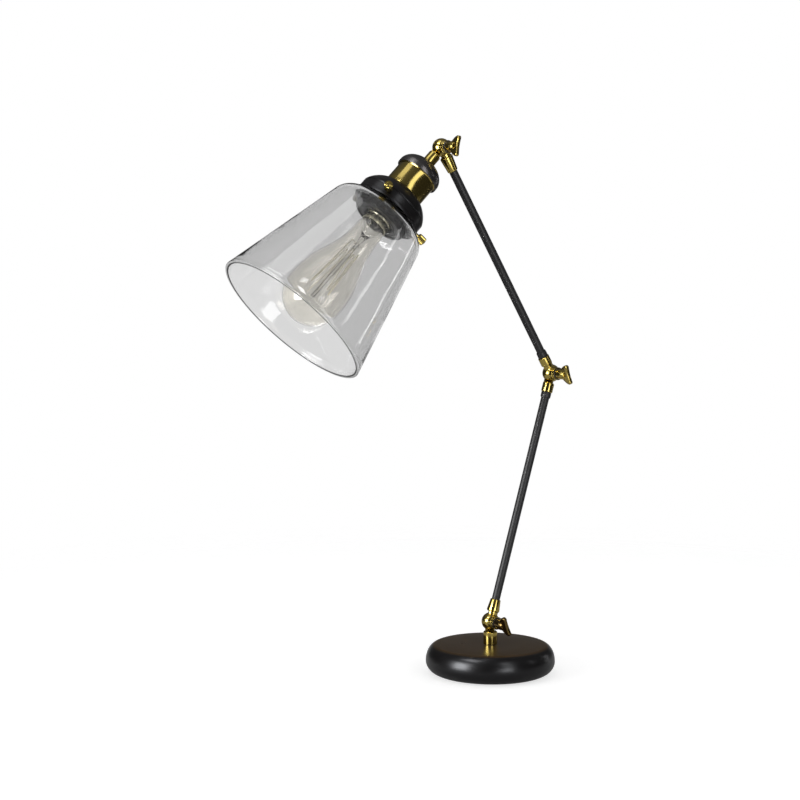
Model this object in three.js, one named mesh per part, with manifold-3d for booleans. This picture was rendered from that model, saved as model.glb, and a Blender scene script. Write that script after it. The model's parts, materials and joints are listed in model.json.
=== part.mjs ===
// Desk lamp with two thin arms on three clamped swivel joints, a heavy round base and a clear glass shade.
// Millimetres and degrees, +Z up. The origin is the middle of the base's underside, on the table.
// The arms swing in the XZ plane, the head reaches towards -X, and the wing nuts face -Y.

import * as THREE from "three";
import { mergeVertices } from "three/addons/utils/BufferGeometryUtils.js";
import Module from "manifold-3d";

const wasm = await Module();
wasm.setup();

// How the lamp stands, with each lean measured from the vertical
const LOWER_ARM_LEAN = 16;
const UPPER_ARM_LEAN = -30;
const HEAD_LEAN = -135.6;
const ARM_LENGTH = 250; // pivot to pivot, both arms
const PIVOT_HEIGHT = 22.5; // of the lowest pivot above the base's top

// Gaps that every fit shares
const CLEARANCE = 0.3; // between pieces that seat on or pass through each other
const OVERRUN = 2; // of a cutting tool past the face it cuts
const MERGE = 1e-4; // vertices nearer than this are one

// Base
const BASE_HEIGHT = 28.5;
const BASE_RADIUS = 63; // at the belly
const BELLY_HEIGHT = 12.5;
const BASE_SHOULDER_WIDTH = 10; // of the rounding between the belly and the flat top
const BASE_FOOT_INSET = 13; // of the foot behind the belly
const BASE_FOOT_HEIGHT = 0.6; // of the shell's rim above the table
const SHELL_WALL = 1.6;
const PAD_THICKNESS = 1.2;
const PLATE_THICKNESS = 1.4;
const PLATE_SCREW_INSET = 14; // from the foot's edge
const PLATE_SCREW_RADIUS = 1.6;
const PLATE_SCREW_LENGTH = 9;
const PLATE_SCREW_HEAD_RADIUS = 2.9;
const PLATE_SCREW_HEAD_HEIGHT = 1.2;
const PLATE_SCREW_COUNT = 3;
const NUT_POCKET_RADIUS = 12;
const NUT_POCKET_HEIGHT = 13;
const GROMMET_BORE_RADIUS = 3.2;
const GROMMET_BODY_RADIUS = 4.4;
const GROMMET_FLANGE_RADIUS = 5.8;
const GROMMET_FLANGE_THICKNESS = 1.4;
const GROMMET_INSIDE_LENGTH = 2.2; // inside the shell
const CHANNEL_WIDTH = 12; // in the weight, for the lead

// Threaded tube that holds the stem to the base
const NIPPLE_RADIUS = 4.9;
const NIPPLE_BORE_RADIUS = 3.3;
const NIPPLE_GRIP = 10; // inside the stem
const NIPPLE_TAIL = 2; // below its nut
const NUT_FLATS = 14;
const NUT_THICKNESS = 4;
const WASHER_THICKNESS = 1.2;
const WASHER_RADIUS = 10.4;

// Swivel joint: two half balls on one screw
const BALL_RADIUS = 8.7;
const BALL_CAVITY_RADIUS = 6;
const BALL_CAVITY_DEPTH = 4.6;
const FACE_GAP = 0.5; // from the joint's middle plane to each half's face
const PIVOT_RADIUS = 2;
const PIVOT_HEAD_RADIUS = 3.6;
const PIVOT_HEAD_HEIGHT = 2;
const PIVOT_SLOT_WIDTH = 1;
const PIVOT_SLOT_DEPTH = 1;
const HEAD_SEAT_DEPTH = 5.6; // of the screw head's seat behind the middle plane
const BOSS_RADIUS = 6.3; // front face that the nut clamps
const BOSS_REACH = 12.6; // from the middle plane
const BOSS_GROOVE_DEPTH = 0.7;
const BOSS_GROOVE_WIDTH = 1;
const FRICTION_RING_WALL = 1.8;
const FRICTION_RING_THICKNESS = 0.5;
const LINK_RADIUS = 5.2; // between a half ball and its ferrule
const LEAD_BORE_RADIUS = 2.7;
const FERRULE_START = 9.6; // from the pivot
const FERRULE_RADIUS = 6.2; // of a long ferrule, next to the ball
const FERRULE_TIP_WALL = 0.7; // round the tube
const SHORT_FERRULE_RADIUS = 5.6; // of the two at the elbow
const NECK_RADIUS = 6;
const FERRULE_CHAMFER = 0.9;
const STEM_RADIUS = 6.8;

// Wing nut
const NUT_WASHER_RADIUS = 5.6;
const NUT_WASHER_THICKNESS = 1;
const HUB_RADIUS = 5.1;
const HUB_TIP_RADIUS = 3.6;
const HUB_LENGTH = 11.5;
const HUB_TAPER_LENGTH = 4;
const HUB_END_WALL = 2; // closing the threaded hole
const WING_START = 6.8; // from the nut's clamping face
const WING_LENGTH = 11;
const WING_SPAN = 19.4;
const WING_WAIST = 11;
const WING_THICKNESS = 3.8;
const WING_CORNER = 2.4;
const WING_DIP = 0.9; // in the middle of its outer edge
const WING_BEVEL = 0.7;
const LOWER_WING_TURN = 69;
const ELBOW_WING_TURN = 73;
const HEAD_WING_TURN = 99;

// Arm tubes
const TUBE_RADIUS = 4;
const TUBE_WALL = 1;
const TUBE_GRIP = 7; // inside each ferrule
const LOWER_FERRULE_END = 22; // from its pivot, as for the next three
const ELBOW_LOWER_FERRULE_END = 19.2;
const ELBOW_UPPER_FERRULE_END = 19;
const HEAD_FERRULE_END = 25;
const COLLAR_RADIUS = 4.95; // black ring on the tube next to the elbow
const COLLAR_LENGTH = 5.4;
const COLLAR_TAPER = 1.2;

// Flat twin lead that feeds the bulb
const LEAD_HALF_WIDTH = 1.7;
const LEAD_HALF_THICKNESS = 0.8;
const LEAD_OFFSET = 1.6; // from the swing plane, where it passes a pivot
const LEAD_START = 3.4; // from a pivot, clear of its screw
const LEAD_RETURN = 3.6; // length in which it comes back to the swing plane

// Lamp holder, from the head's pivot towards the shade's mouth
const NECK_LENGTH = 21.6; // from the pivot to the cap
const SPIGOT_RADIUS = 4.9;
const SPIGOT_LENGTH = 8.2;
const CAP_WALL = 1.1;
const CAP_TOP_RADIUS = 6.6;
const CAP_DOME_LENGTH = 13.8;
const CAP_RIM_LENGTH = 3; // of its straight rim
const CAP_NUT_FLATS = 12.4;
const CAP_NUT_THICKNESS = 3.4;
const SOCKET_SHELL_WALL = 0.9;
const SOCKET_SHELL_LENGTH = 22.2; // that shows
const SOCKET_SHELL_GRIP = 2.2; // inside the cap
const SOCKET_SHELL_BEAD = 0.8; // that its top stands proud, inside the cap
const SOCKET_SHELL_BEAD_WIDTH = 1.8;
const INSULATOR_LENGTH = 48;
const INSULATOR_REACH = 31.4; // past the barrel
const INSULATOR_WALL = 2.3;
const INSULATOR_BORE_DEPTH = 19;
const SLEEVE_WALL = 1.7;
const SLEEVE_LENGTH = 42.3;
const SCREW_SHELL_WALL = 0.5;
const SCREW_SHELL_LENGTH = 17.5;
const CONTACT_WIDTH = 5;
const CONTACT_THICKNESS = 0.6;
const CONTACT_HALF_LENGTH = 5;
const CONTACT_RISE = 3.4; // of its free end above the floor
const CONTACT_GAP = 0.5; // between its free end and the bulb

// Black shade holder and the ring nut that clamps it
const HOLDER_DOME_LENGTH = 13.8;
const HOLDER_SKIRT_LENGTH = 11.4;
const HOLDER_ROOM = 1.1; // round the glass's lip
const HOLDER_LIP = 0.5; // that the skirt's foot stands proud
const HOLDER_LIP_WIDTH = 3.4;
const HOLDER_WALL = 1.4;
const RING_HUB_WALL = 2.6;
const RING_FLANGE_LENGTH = 6.8;
const RING_FLANGE_WALL = 4.6;
const RING_HOLE_ROOM = 2; // round the bulb's cap
const RING_EDGE_WIDTH = 1.2;

// Thumb screws that hold the glass
const THUMB_OFFSET = 5.2; // of their middle from the holder's shoulder
const THUMB_COUNT = 3;
const THUMB_TURN = 308; // of the first one, about the head's axis
const THUMB_SHANK_RADIUS = 1.9;
const THUMB_SHANK_SHOWN_LENGTH = 4.2; // between the skirt and the head
const THUMB_HEAD_LENGTH = 8.6;
const THUMB_HEAD_RADIUS = 3.3;
const THUMB_KNURL_DEPTH = 0.3;
const THUMB_TEETH = 10;
const THUMB_EDGE_WIDTH = 0.6;

// Glass shade
const GLASS_WALL = 3.8;
const GLASS_MOUTH_RADIUS = 77.6; // outside
const GLASS_CONE_LENGTH = 124.8;
const GLASS_CONE_RADIUS = 49.2; // where the cone starts
const GLASS_SHOULDER_LENGTH = 15.6;
const GLASS_SHOULDER_RADIUS = 38;
const GLASS_NECK_RADIUS = 30.2;
const GLASS_NECK_WALL = 2.6;
const GLASS_NECK_LENGTH = 4.4; // past the middle of the screws
const GLASS_LIP_HEIGHT = 1.7; // that its top stands proud above the screws
const GLASS_LIP_WIDTH = 2.6;

// Bulb
const BULB_CAP_RADIUS = 13.2;
const BULB_CAP_LENGTH = 22.6;
const BULB_CAP_WALL = 0.6;
const BULB_CAP_RIM_WALL = 0.7;
const BULB_CAP_HOLE_RADIUS = 9;
const BULB_THREAD_DEPTH = 0.6;
const BULB_THREAD_COUNT = 5;
const BULB_THREAD_PITCH = 3.2;
const BULB_BASE_HEIGHT = 2.4; // of the glass between cap and contact
const BULB_BASE_RADIUS = 6;
const BULB_CONTACT_RADIUS = 4.4;
const BULB_CONTACT_HEIGHT = 0.9;
const BULB_RADIUS = 29;
const BULB_WALL = 0.9;
const BULB_GLASS_LENGTH = 116.6; // from the cap to the tip
const BULB_NECK_GRIP = 3; // inside the cap
const BULB_NECK_LENGTH = 5; // outside it, to the throat
const BULB_THROAT_RISE = 1.6; // of the throat outside the neck
const MOUNT_ROD_RADIUS = 1.7;
const MOUNT_FLARE_LENGTH = 23;
const MOUNT_HOLLOW_LENGTH = 15;
const MOUNT_THROAT_RADIUS = 2.6; // where the flare ends in the rod
const MOUNT_TAIL_LENGTH = 1; // past the lower circle
const FILAMENT_LENGTH = 68;
const FILAMENT_GAP = 4; // between the flare and the upper circle
const FILAMENT_TOP_CIRCLE_RADIUS = 7;
const FILAMENT_BOTTOM_CIRCLE_RADIUS = 13;
const FILAMENT_RUNS = 9;
const FILAMENT_RADIUS = 0.45;
const SUPPORT_RADIUS = 0.35;

// How many sides round pieces have
const LARGE_SIDES = 32;
const MIDDLE_SIDES = 18;
const SMALL_SIDES = 12;
const WIRE_SIDES = 4;
const CURVE_STEPS = 4;
const FINE_STEPS = 6; // of curves on the glass

const FINISH = {
  black: { color: 0x1b1a1a, roughness: 0.35, metalness: 0.2 },
  charcoal: { color: 0x232323, roughness: 0.5, metalness: 0.2 },
  brass: { color: 0xb08d3a, roughness: 0.25, metalness: 1 },
  bronze: { color: 0x3d3a35, roughness: 0.45, metalness: 0.8 },
  steel: { color: 0x9a9a98, roughness: 0.4, metalness: 1 },
  iron: { color: 0x4a4a4a, roughness: 0.8, metalness: 0.6 },
  rubber: { color: 0x1d1d1d, roughness: 0.9, metalness: 0 },
  plastic: { color: 0x161616, roughness: 0.5, metalness: 0 },
  ceramic: { color: 0xe8e4da, roughness: 0.5, metalness: 0 },
  nickel: { color: 0xb9b6ab, roughness: 0.3, metalness: 1 },
  glass: { color: 0xdfe3e3, roughness: 0.05, metalness: 0 },
  wire: { color: 0x8a6a3a, roughness: 0.5, metalness: 0.6 },
};

// A closed three.js geometry as a solid that can be cut and joined, with its faces turned outwards.
function solid(geometry) {
  const bare = geometry.clone();
  bare.deleteAttribute("normal");
  bare.deleteAttribute("uv");
  const merged = mergeVertices(bare, MERGE);
  const place = merged.attributes.position;
  const corner = [new THREE.Vector3(), new THREE.Vector3(), new THREE.Vector3()];
  const triangles = [];
  let volume = 0;
  for (let i = 0; i < merged.index.count; i += 3) {
    const [a, b, c] = [0, 1, 2].map((k) => merged.index.getX(i + k));
    if (a === b || b === c || c === a) continue;
    triangles.push([a, b, c]);
    [a, b, c].forEach((v, k) => corner[k].fromBufferAttribute(place, v));
    volume += corner[0].dot(corner[1].clone().cross(corner[2]));
  }
  const facing = volume < 0 ? triangles.map(([a, b, c]) => [a, c, b]) : triangles;
  return new wasm.Manifold(
    new wasm.Mesh({
      numProp: 3,
      vertProperties: new Float32Array(place.array),
      triVerts: new Uint32Array(facing.flat()),
    }),
  );
}

// The named mesh of a solid, in its finish.
function mesh(name, made, finish) {
  const { vertProperties, triVerts } = made.getMesh();
  const geometry = new THREE.BufferGeometry()
    .setAttribute("position", new THREE.BufferAttribute(new Float32Array(vertProperties), 3))
    .setIndex(new THREE.BufferAttribute(new Uint32Array(triVerts), 1));
  const node = new THREE.Mesh(geometry, new THREE.MeshStandardMaterial(FINISH[finish]));
  node.name = name;
  return node;
}

// A solid turned about Y from an outline of [radius, place] points. A ring's outline closes on itself.
function turnedOnPivot(outline, sides = MIDDLE_SIDES) {
  const points = outline.map(([radius, place]) => new THREE.Vector2(radius, place));
  if (outline[0][0] > 0) points.push(points[0].clone());
  return solid(new THREE.LatheGeometry(points, sides));
}

// The same about Z.
function turned(outline, sides = MIDDLE_SIDES) {
  return turnedOnPivot(outline, sides).rotate([90, 0, 0]);
}

function cylinder(radius, from, to, sides = SMALL_SIDES) {
  return turned([[0, from], [radius, from], [radius, to], [0, to]], sides);
}

function tube(outer, inner, from, to, sides = MIDDLE_SIDES) {
  return turned([[inner, from], [outer, from], [outer, to], [inner, to]], sides);
}

function block(from, to) {
  const size = to.map((v, i) => v - from[i]);
  const middle = to.map((v, i) => (v + from[i]) / 2);
  return solid(new THREE.BoxGeometry(...size).translate(...middle));
}

function hexNut(flats, bore, from, to) {
  const hexagon = cylinder(flats / Math.sqrt(3), from, to, 6);
  return hexagon.subtract(cylinder(bore, from - OVERRUN, to + OVERRUN));
}

// Round wire between two points.
function wire(start, end, radius) {
  const along = new THREE.Vector3().subVectors(end, start);
  const rod = new THREE.CylinderGeometry(radius, radius, along.length(), WIRE_SIDES);
  const turn = new THREE.Quaternion().setFromUnitVectors(new THREE.Vector3(0, 1, 0), along.normalize());
  const middle = start.clone().add(end).divideScalar(2);
  return solid(rod.applyQuaternion(turn).translate(...middle));
}

// Outline points of a bezier curve through [radius, place] points.
function bend(start, pull, push, end, steps = CURVE_STEPS) {
  const corners = [start, pull, push, end].map(([radius, place]) => new THREE.Vector2(radius, place));
  return new THREE.CubicBezierCurve(...corners).getPoints(steps).map((p) => [p.x, p.y]);
}

// Outline points of an arc, or of an ellipse's, with angles from the radius direction.
function arc(radius, place, reach, rise, fromDegrees, toDegrees, steps = CURVE_STEPS) {
  return Array.from({ length: steps + 1 }, (_, i) => {
    const angle = radians(fromDegrees + ((toDegrees - fromDegrees) * i) / steps);
    return [radius + reach * Math.cos(angle), place + rise * Math.sin(angle)];
  });
}

function radians(degrees) {
  return THREE.MathUtils.degToRad(degrees);
}

// Points spread evenly round a circle about Z.
function around(count, radius, place, firstTurn = 0) {
  return Array.from({ length: count }, (_, i) => {
    const turn = radians(firstTurn) + (Math.PI * 2 * i) / count;
    return new THREE.Vector3(radius * Math.cos(turn), radius * Math.sin(turn), place);
  });
}

// A group at a pivot in the swing plane, leaning from the vertical.
function frameAt(pivot, lean) {
  const group = new THREE.Group();
  group.position.set(pivot.x, 0, pivot.z);
  group.rotation.y = radians(lean);
  return group;
}

function nextPivot(pivot, lean) {
  return {
    x: pivot.x + ARM_LENGTH * Math.sin(radians(lean)),
    z: pivot.z + ARM_LENGTH * Math.cos(radians(lean)),
  };
}

const LOWER_PIVOT = { x: 0, z: BASE_HEIGHT + PIVOT_HEIGHT };
const ELBOW_PIVOT = nextPivot(LOWER_PIVOT, LOWER_ARM_LEAN);
const HEAD_PIVOT = nextPivot(ELBOW_PIVOT, UPPER_ARM_LEAN);

// Base: a spun steel shell over an iron weight, closed by a plate with a soft pad.
const BASE_TOP_RADIUS = BASE_RADIUS - BASE_SHOULDER_WIDTH; // of the flat top
const BASE_FOOT_RADIUS = BASE_RADIUS - BASE_FOOT_INSET;
const GROMMET_INSIDE = BASE_RADIUS - SHELL_WALL - GROMMET_INSIDE_LENGTH; // where the bush ends
const STEM_HOLE_RADIUS = NIPPLE_RADIUS + CLEARANCE;
const INSERT_RADIUS = BASE_FOOT_RADIUS - CLEARANCE; // of what goes in through the shell's open foot
const PLATE_BOTTOM = PAD_THICKNESS + CLEARANCE / 2;
const PLATE_TOP = PLATE_BOTTOM + PLATE_THICKNESS;
const WEIGHT_BOTTOM = PLATE_TOP + CLEARANCE;
const POCKET_TOP = WEIGHT_BOTTOM + NUT_POCKET_HEIGHT;
const NIPPLE_NUT_TOP = POCKET_TOP - WASHER_THICKNESS - CLEARANCE * 2;
const NIPPLE_BOTTOM = NIPPLE_NUT_TOP - NUT_THICKNESS - NIPPLE_TAIL;

// The shell's side from its foot over the belly to the flat top, moved inwards by an inset.
function baseSide(inset) {
  const belly = BASE_RADIUS - inset;
  const drop = BELLY_HEIGHT - BASE_FOOT_HEIGHT - inset;
  const rise = BASE_HEIGHT - BELLY_HEIGHT - inset;
  const foot = arc(BASE_FOOT_RADIUS, BELLY_HEIGHT, belly - BASE_FOOT_RADIUS, drop, -90, 0);
  const shoulder = arc(BASE_TOP_RADIUS, BELLY_HEIGHT, belly - BASE_TOP_RADIUS, rise, 0, 90);
  return [...foot, ...shoulder.slice(1)];
}

function baseShell() {
  const outline = [
    ...baseSide(0),
    [STEM_HOLE_RADIUS, BASE_HEIGHT],
    [STEM_HOLE_RADIUS, BASE_HEIGHT - SHELL_WALL],
    ...baseSide(SHELL_WALL).reverse(),
  ];
  const cordHole = turnedOnPivot(
    [
      [0, GROMMET_INSIDE],
      [GROMMET_BODY_RADIUS + CLEARANCE, GROMMET_INSIDE],
      [GROMMET_BODY_RADIUS + CLEARANCE, BASE_RADIUS + OVERRUN],
      [0, BASE_RADIUS + OVERRUN],
    ],
    SMALL_SIDES,
  );
  return turned(outline, LARGE_SIDES).subtract(cordHole.translate([0, 0, BELLY_HEIGHT]));
}

const PLATE_SCREW_CIRCLE = BASE_FOOT_RADIUS - PLATE_SCREW_INSET;
const PLATE_SCREW_PLACES = around(PLATE_SCREW_COUNT, PLATE_SCREW_CIRCLE, 0, -90);

// The same hole at each of the plate's screws.
function plateScrewHoles(radius, depth) {
  const hole = cylinder(radius, 0, depth);
  return wasm.Manifold.union(PLATE_SCREW_PLACES.map(({ x, y }) => hole.translate([x, y, 0])));
}

// Iron that fills the shell, with a pocket for the nut and a channel for the lead.
function baseWeight() {
  const filling = turned(
    [
      [STEM_HOLE_RADIUS, WEIGHT_BOTTOM],
      [INSERT_RADIUS, WEIGHT_BOTTOM],
      ...baseSide(SHELL_WALL + CLEARANCE).filter(([, height]) => height > WEIGHT_BOTTOM),
      [STEM_HOLE_RADIUS, BASE_HEIGHT - SHELL_WALL - CLEARANCE],
    ],
    LARGE_SIDES,
  );
  const pocket = cylinder(NUT_POCKET_RADIUS, 0, POCKET_TOP, MIDDLE_SIDES);
  const half = CHANNEL_WIDTH / 2;
  const channel = block([-half, NUT_POCKET_RADIUS / 2, 0], [half, BASE_RADIUS, BELLY_HEIGHT + half]);
  const screwHoles = plateScrewHoles(PLATE_SCREW_RADIUS + CLEARANCE, PLATE_SCREW_LENGTH + OVERRUN);
  return filling.subtract(pocket).subtract(channel).subtract(screwHoles);
}

function basePlate() {
  const disc = cylinder(INSERT_RADIUS, PLATE_BOTTOM, PLATE_TOP, LARGE_SIDES);
  return disc.subtract(plateScrewHoles(PLATE_SCREW_HEAD_RADIUS + CLEARANCE, PLATE_TOP + OVERRUN));
}

// Countersunk screw that holds the plate to the weight.
function plateScrew({ x, y }) {
  return turned(
    [
      [0, PLATE_BOTTOM],
      [PLATE_SCREW_HEAD_RADIUS, PLATE_BOTTOM],
      [PLATE_SCREW_RADIUS, PLATE_BOTTOM + PLATE_SCREW_HEAD_HEIGHT],
      [PLATE_SCREW_RADIUS, PLATE_SCREW_LENGTH],
      [0, PLATE_SCREW_LENGTH],
    ],
    SMALL_SIDES,
  ).translate([x, y, 0]);
}

// Bush that lines the cord's hole in the shell's back.
function cordGrommet() {
  const flange = BASE_RADIUS + CLEARANCE;
  const outside = flange + GROMMET_FLANGE_THICKNESS;
  return turnedOnPivot(
    [
      [GROMMET_BORE_RADIUS, GROMMET_INSIDE],
      [GROMMET_BODY_RADIUS, GROMMET_INSIDE],
      [GROMMET_BODY_RADIUS, flange],
      [GROMMET_FLANGE_RADIUS, flange],
      [GROMMET_FLANGE_RADIUS, outside],
      [GROMMET_BORE_RADIUS, outside],
    ],
    SMALL_SIDES,
  ).translate([0, 0, BELLY_HEIGHT]);
}

function base() {
  const nippleTop = BASE_HEIGHT + NIPPLE_GRIP;
  const nipple = tube(NIPPLE_RADIUS, NIPPLE_BORE_RADIUS, NIPPLE_BOTTOM, nippleTop, SMALL_SIDES);
  const washerTop = POCKET_TOP - CLEARANCE;
  const washer = tube(WASHER_RADIUS, STEM_HOLE_RADIUS, washerTop - WASHER_THICKNESS, washerTop, SMALL_SIDES);
  const nut = hexNut(NUT_FLATS, STEM_HOLE_RADIUS, NIPPLE_NUT_TOP - NUT_THICKNESS, NIPPLE_NUT_TOP);
  const pad = cylinder(INSERT_RADIUS - CLEARANCE, 0, PAD_THICKNESS, LARGE_SIDES);
  const lead = leadRun([
    [NIPPLE_BOTTOM - LOWER_PIVOT.z, 0],
    [-FERRULE_START - LEAD_RETURN, 0],
    [-FERRULE_START, LEAD_OFFSET],
    [-LEAD_START, LEAD_OFFSET],
  ]).translate([LOWER_PIVOT.x, 0, LOWER_PIVOT.z]);
  const group = new THREE.Group();
  group.add(
    mesh("base_shell", baseShell(), "black"),
    mesh("base_weight", baseWeight(), "iron"),
    mesh("base_plate", basePlate(), "steel"),
    mesh("base_pad", pad, "rubber"),
    mesh("base_nipple", nipple, "steel"),
    mesh("base_nipple_washer", washer, "steel"),
    mesh("base_nipple_nut", nut, "steel"),
    mesh("base_cord_grommet", cordGrommet(), "rubber"),
    mesh("stem", hanging(knuckle(true, stemPost())).translate([LOWER_PIVOT.x, 0, LOWER_PIVOT.z]), "brass"),
    mesh("stem_lead", lead, "plastic"),
    ...PLATE_SCREW_PLACES.map((place, i) => mesh(`base_plate_screw_${i + 1}`, plateScrew(place), "steel")),
  );
  return group;
}

// Swivel joint. The rear half ball takes the screw's head.
// The front one has the boss that the nut clamps.
const SCREW_HOLE_RADIUS = PIVOT_RADIUS + CLEARANCE;

function halfBall(rear) {
  const rim = rear ? PIVOT_HEAD_RADIUS + CLEARANCE : BOSS_RADIUS;
  const faceTurn = THREE.MathUtils.radToDeg(Math.asin(FACE_GAP / BALL_RADIUS));
  const rimTurn = THREE.MathUtils.radToDeg(Math.acos(rim / BALL_RADIUS));
  const groove = BOSS_REACH - BOSS_GROOVE_WIDTH * 3;
  const seat = [
    [rim, HEAD_SEAT_DEPTH],
    [SCREW_HOLE_RADIUS, HEAD_SEAT_DEPTH],
  ];
  const boss = [
    [BOSS_RADIUS, groove],
    [BOSS_RADIUS - BOSS_GROOVE_DEPTH, groove],
    [BOSS_RADIUS - BOSS_GROOVE_DEPTH, groove + BOSS_GROOVE_WIDTH],
    [BOSS_RADIUS, groove + BOSS_GROOVE_WIDTH],
    [BOSS_RADIUS, BOSS_REACH],
    [SCREW_HOLE_RADIUS, BOSS_REACH],
  ];
  const outline = [
    [SCREW_HOLE_RADIUS, BALL_CAVITY_DEPTH],
    [BALL_CAVITY_RADIUS, BALL_CAVITY_DEPTH],
    [BALL_CAVITY_RADIUS, FACE_GAP],
    ...arc(0, 0, BALL_RADIUS, BALL_RADIUS, faceTurn, rimTurn),
    ...(rear ? seat : boss),
  ];
  return turnedOnPivot(outline.map(([radius, depth]) => [radius, rear ? depth : -depth]));
}

// Joins a half ball to the ferrule, stem or neck that leaves it along +Z, with a notch for the lead.
function knuckle(rear, post) {
  const side = rear ? 1 : -1;
  const linkEnd = FERRULE_START + FERRULE_CHAMFER;
  const cavity = BALL_CAVITY_DEPTH * side;
  const faceRange = [FACE_GAP * side, (FACE_GAP + BALL_RADIUS) * side].sort((a, b) => a - b);
  const notchRange = [0, (LEAD_OFFSET + LEAD_HALF_THICKNESS + CLEARANCE) * side].sort((a, b) => a - b);
  const notchHalf = LEAD_HALF_WIDTH + CLEARANCE;
  const link = cylinder(LINK_RADIUS, 0, linkEnd)
    .intersect(block([-BALL_RADIUS, faceRange[0], 0], [BALL_RADIUS, faceRange[1], linkEnd]))
    .subtract(
      turnedOnPivot([
        [0, -cavity],
        [BALL_CAVITY_RADIUS, -cavity],
        [BALL_CAVITY_RADIUS, cavity],
        [0, cavity],
      ]),
    );
  const notch = block([-notchHalf, notchRange[0], 0], [notchHalf, notchRange[1], linkEnd]);
  return halfBall(rear).add(link.subtract(halfBallHole())).add(post).subtract(notch);
}

// The way of the pivot screw and its head through the joint.
function halfBallHole() {
  return turnedOnPivot([
    [0, -BALL_RADIUS],
    [SCREW_HOLE_RADIUS, -BALL_RADIUS],
    [SCREW_HOLE_RADIUS, HEAD_SEAT_DEPTH],
    [PIVOT_HEAD_RADIUS + CLEARANCE, HEAD_SEAT_DEPTH],
    [PIVOT_HEAD_RADIUS + CLEARANCE, BALL_RADIUS],
    [0, BALL_RADIUS],
  ]);
}

// A piece made upwards from a pivot, turned to hang below it with its front still in front.
function hanging(made) {
  return made.rotate([0, 180, 0]);
}

// Outline of the end of a post that faces the ball, from its bore outwards.
function postStart(radius) {
  return [
    [LEAD_BORE_RADIUS, FERRULE_START],
    [radius - FERRULE_CHAMFER, FERRULE_START],
    [radius, FERRULE_START + FERRULE_CHAMFER],
  ];
}

// Ferrule that grips the end of an arm tube, tapered where its tip is thinner than its foot.
function ferrule(radius, tip, end) {
  const socket = TUBE_RADIUS + CLEARANCE;
  return turned([
    ...postStart(radius),
    [radius, FERRULE_START + FERRULE_CHAMFER * 2],
    [tip, end - FERRULE_CHAMFER / 2],
    [tip - FERRULE_CHAMFER / 2, end],
    [socket, end],
    [socket, end - TUBE_GRIP],
    [LEAD_BORE_RADIUS, end - TUBE_GRIP],
  ]);
}

function longFerrule(end) {
  return ferrule(FERRULE_RADIUS, TUBE_RADIUS + CLEARANCE + FERRULE_TIP_WALL, end);
}

function shortFerrule(end) {
  return ferrule(SHORT_FERRULE_RADIUS, SHORT_FERRULE_RADIUS, end);
}

// Post that stands on the base and screws onto its threaded tube.
function stemPost() {
  const foot = PIVOT_HEIGHT - CLEARANCE;
  const boreTop = foot - NIPPLE_GRIP - CLEARANCE;
  return turned([
    ...postStart(STEM_RADIUS),
    [STEM_RADIUS, foot],
    [STEM_HOLE_RADIUS, foot],
    [STEM_HOLE_RADIUS, boreTop],
    [LEAD_BORE_RADIUS, boreTop],
  ]);
}

// Neck that carries the lamp holder on a threaded spigot.
function neckPost() {
  return turned([
    ...postStart(NECK_RADIUS),
    [NECK_RADIUS, NECK_END - CLEARANCE],
    [SPIGOT_RADIUS, NECK_END - CLEARANCE],
    [SPIGOT_RADIUS, NECK_END + SPIGOT_LENGTH],
    [LEAD_BORE_RADIUS, NECK_END + SPIGOT_LENGTH],
  ]);
}

const WASHER_FACE = BOSS_REACH + CLEARANCE;
const NUT_FACE = WASHER_FACE + NUT_WASHER_THICKNESS + CLEARANCE;
const NUT_BORE_END = NUT_FACE + HUB_LENGTH - HUB_END_WALL;

function frictionRing() {
  const half = FRICTION_RING_THICKNESS / 2;
  const outer = BALL_RADIUS - CLEARANCE;
  const inner = outer - FRICTION_RING_WALL;
  return turnedOnPivot([[inner, -half], [outer, -half], [outer, half], [inner, half]]);
}

function pivotScrew() {
  const seat = HEAD_SEAT_DEPTH + CLEARANCE;
  const top = seat + PIVOT_HEAD_HEIGHT;
  const screw = turnedOnPivot(
    [
      [0, CLEARANCE - NUT_BORE_END],
      [PIVOT_RADIUS, CLEARANCE - NUT_BORE_END],
      [PIVOT_RADIUS, seat],
      [PIVOT_HEAD_RADIUS, seat],
      [PIVOT_HEAD_RADIUS, top],
      [0, top],
    ],
    SMALL_SIDES,
  );
  const reach = PIVOT_HEAD_RADIUS + OVERRUN;
  const half = PIVOT_SLOT_WIDTH / 2;
  return screw.subtract(block([-reach, top - PIVOT_SLOT_DEPTH, -half], [reach, top + OVERRUN, half]));
}

function nutWasher() {
  const back = -WASHER_FACE;
  const front = back - NUT_WASHER_THICKNESS;
  return turnedOnPivot(
    [
      [SCREW_HOLE_RADIUS, front],
      [NUT_WASHER_RADIUS, front],
      [NUT_WASHER_RADIUS, back],
      [SCREW_HOLE_RADIUS, back],
    ],
    SMALL_SIDES,
  );
}

// Outline of the nut's two wings in the XY plane, flaring towards -Y with rounded corners.
function wingShape() {
  const half = WING_SPAN / 2 - WING_BEVEL;
  const waist = WING_WAIST / 2 - WING_BEVEL;
  const start = NUT_FACE + WING_START + WING_BEVEL;
  const outer = NUT_FACE + WING_START + WING_LENGTH - WING_BEVEL;
  const shape = new THREE.Shape();
  shape.moveTo(-waist, -start);
  shape.quadraticCurveTo(-half, -(start + outer) / 2, -half, WING_CORNER - outer);
  shape.quadraticCurveTo(-half, -outer, WING_CORNER - half, -outer);
  shape.quadraticCurveTo(0, WING_DIP * 2 - outer, half - WING_CORNER, -outer);
  shape.quadraticCurveTo(half, -outer, half, WING_CORNER - outer);
  shape.quadraticCurveTo(half, -(start + outer) / 2, waist, -start);
  return shape;
}

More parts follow.
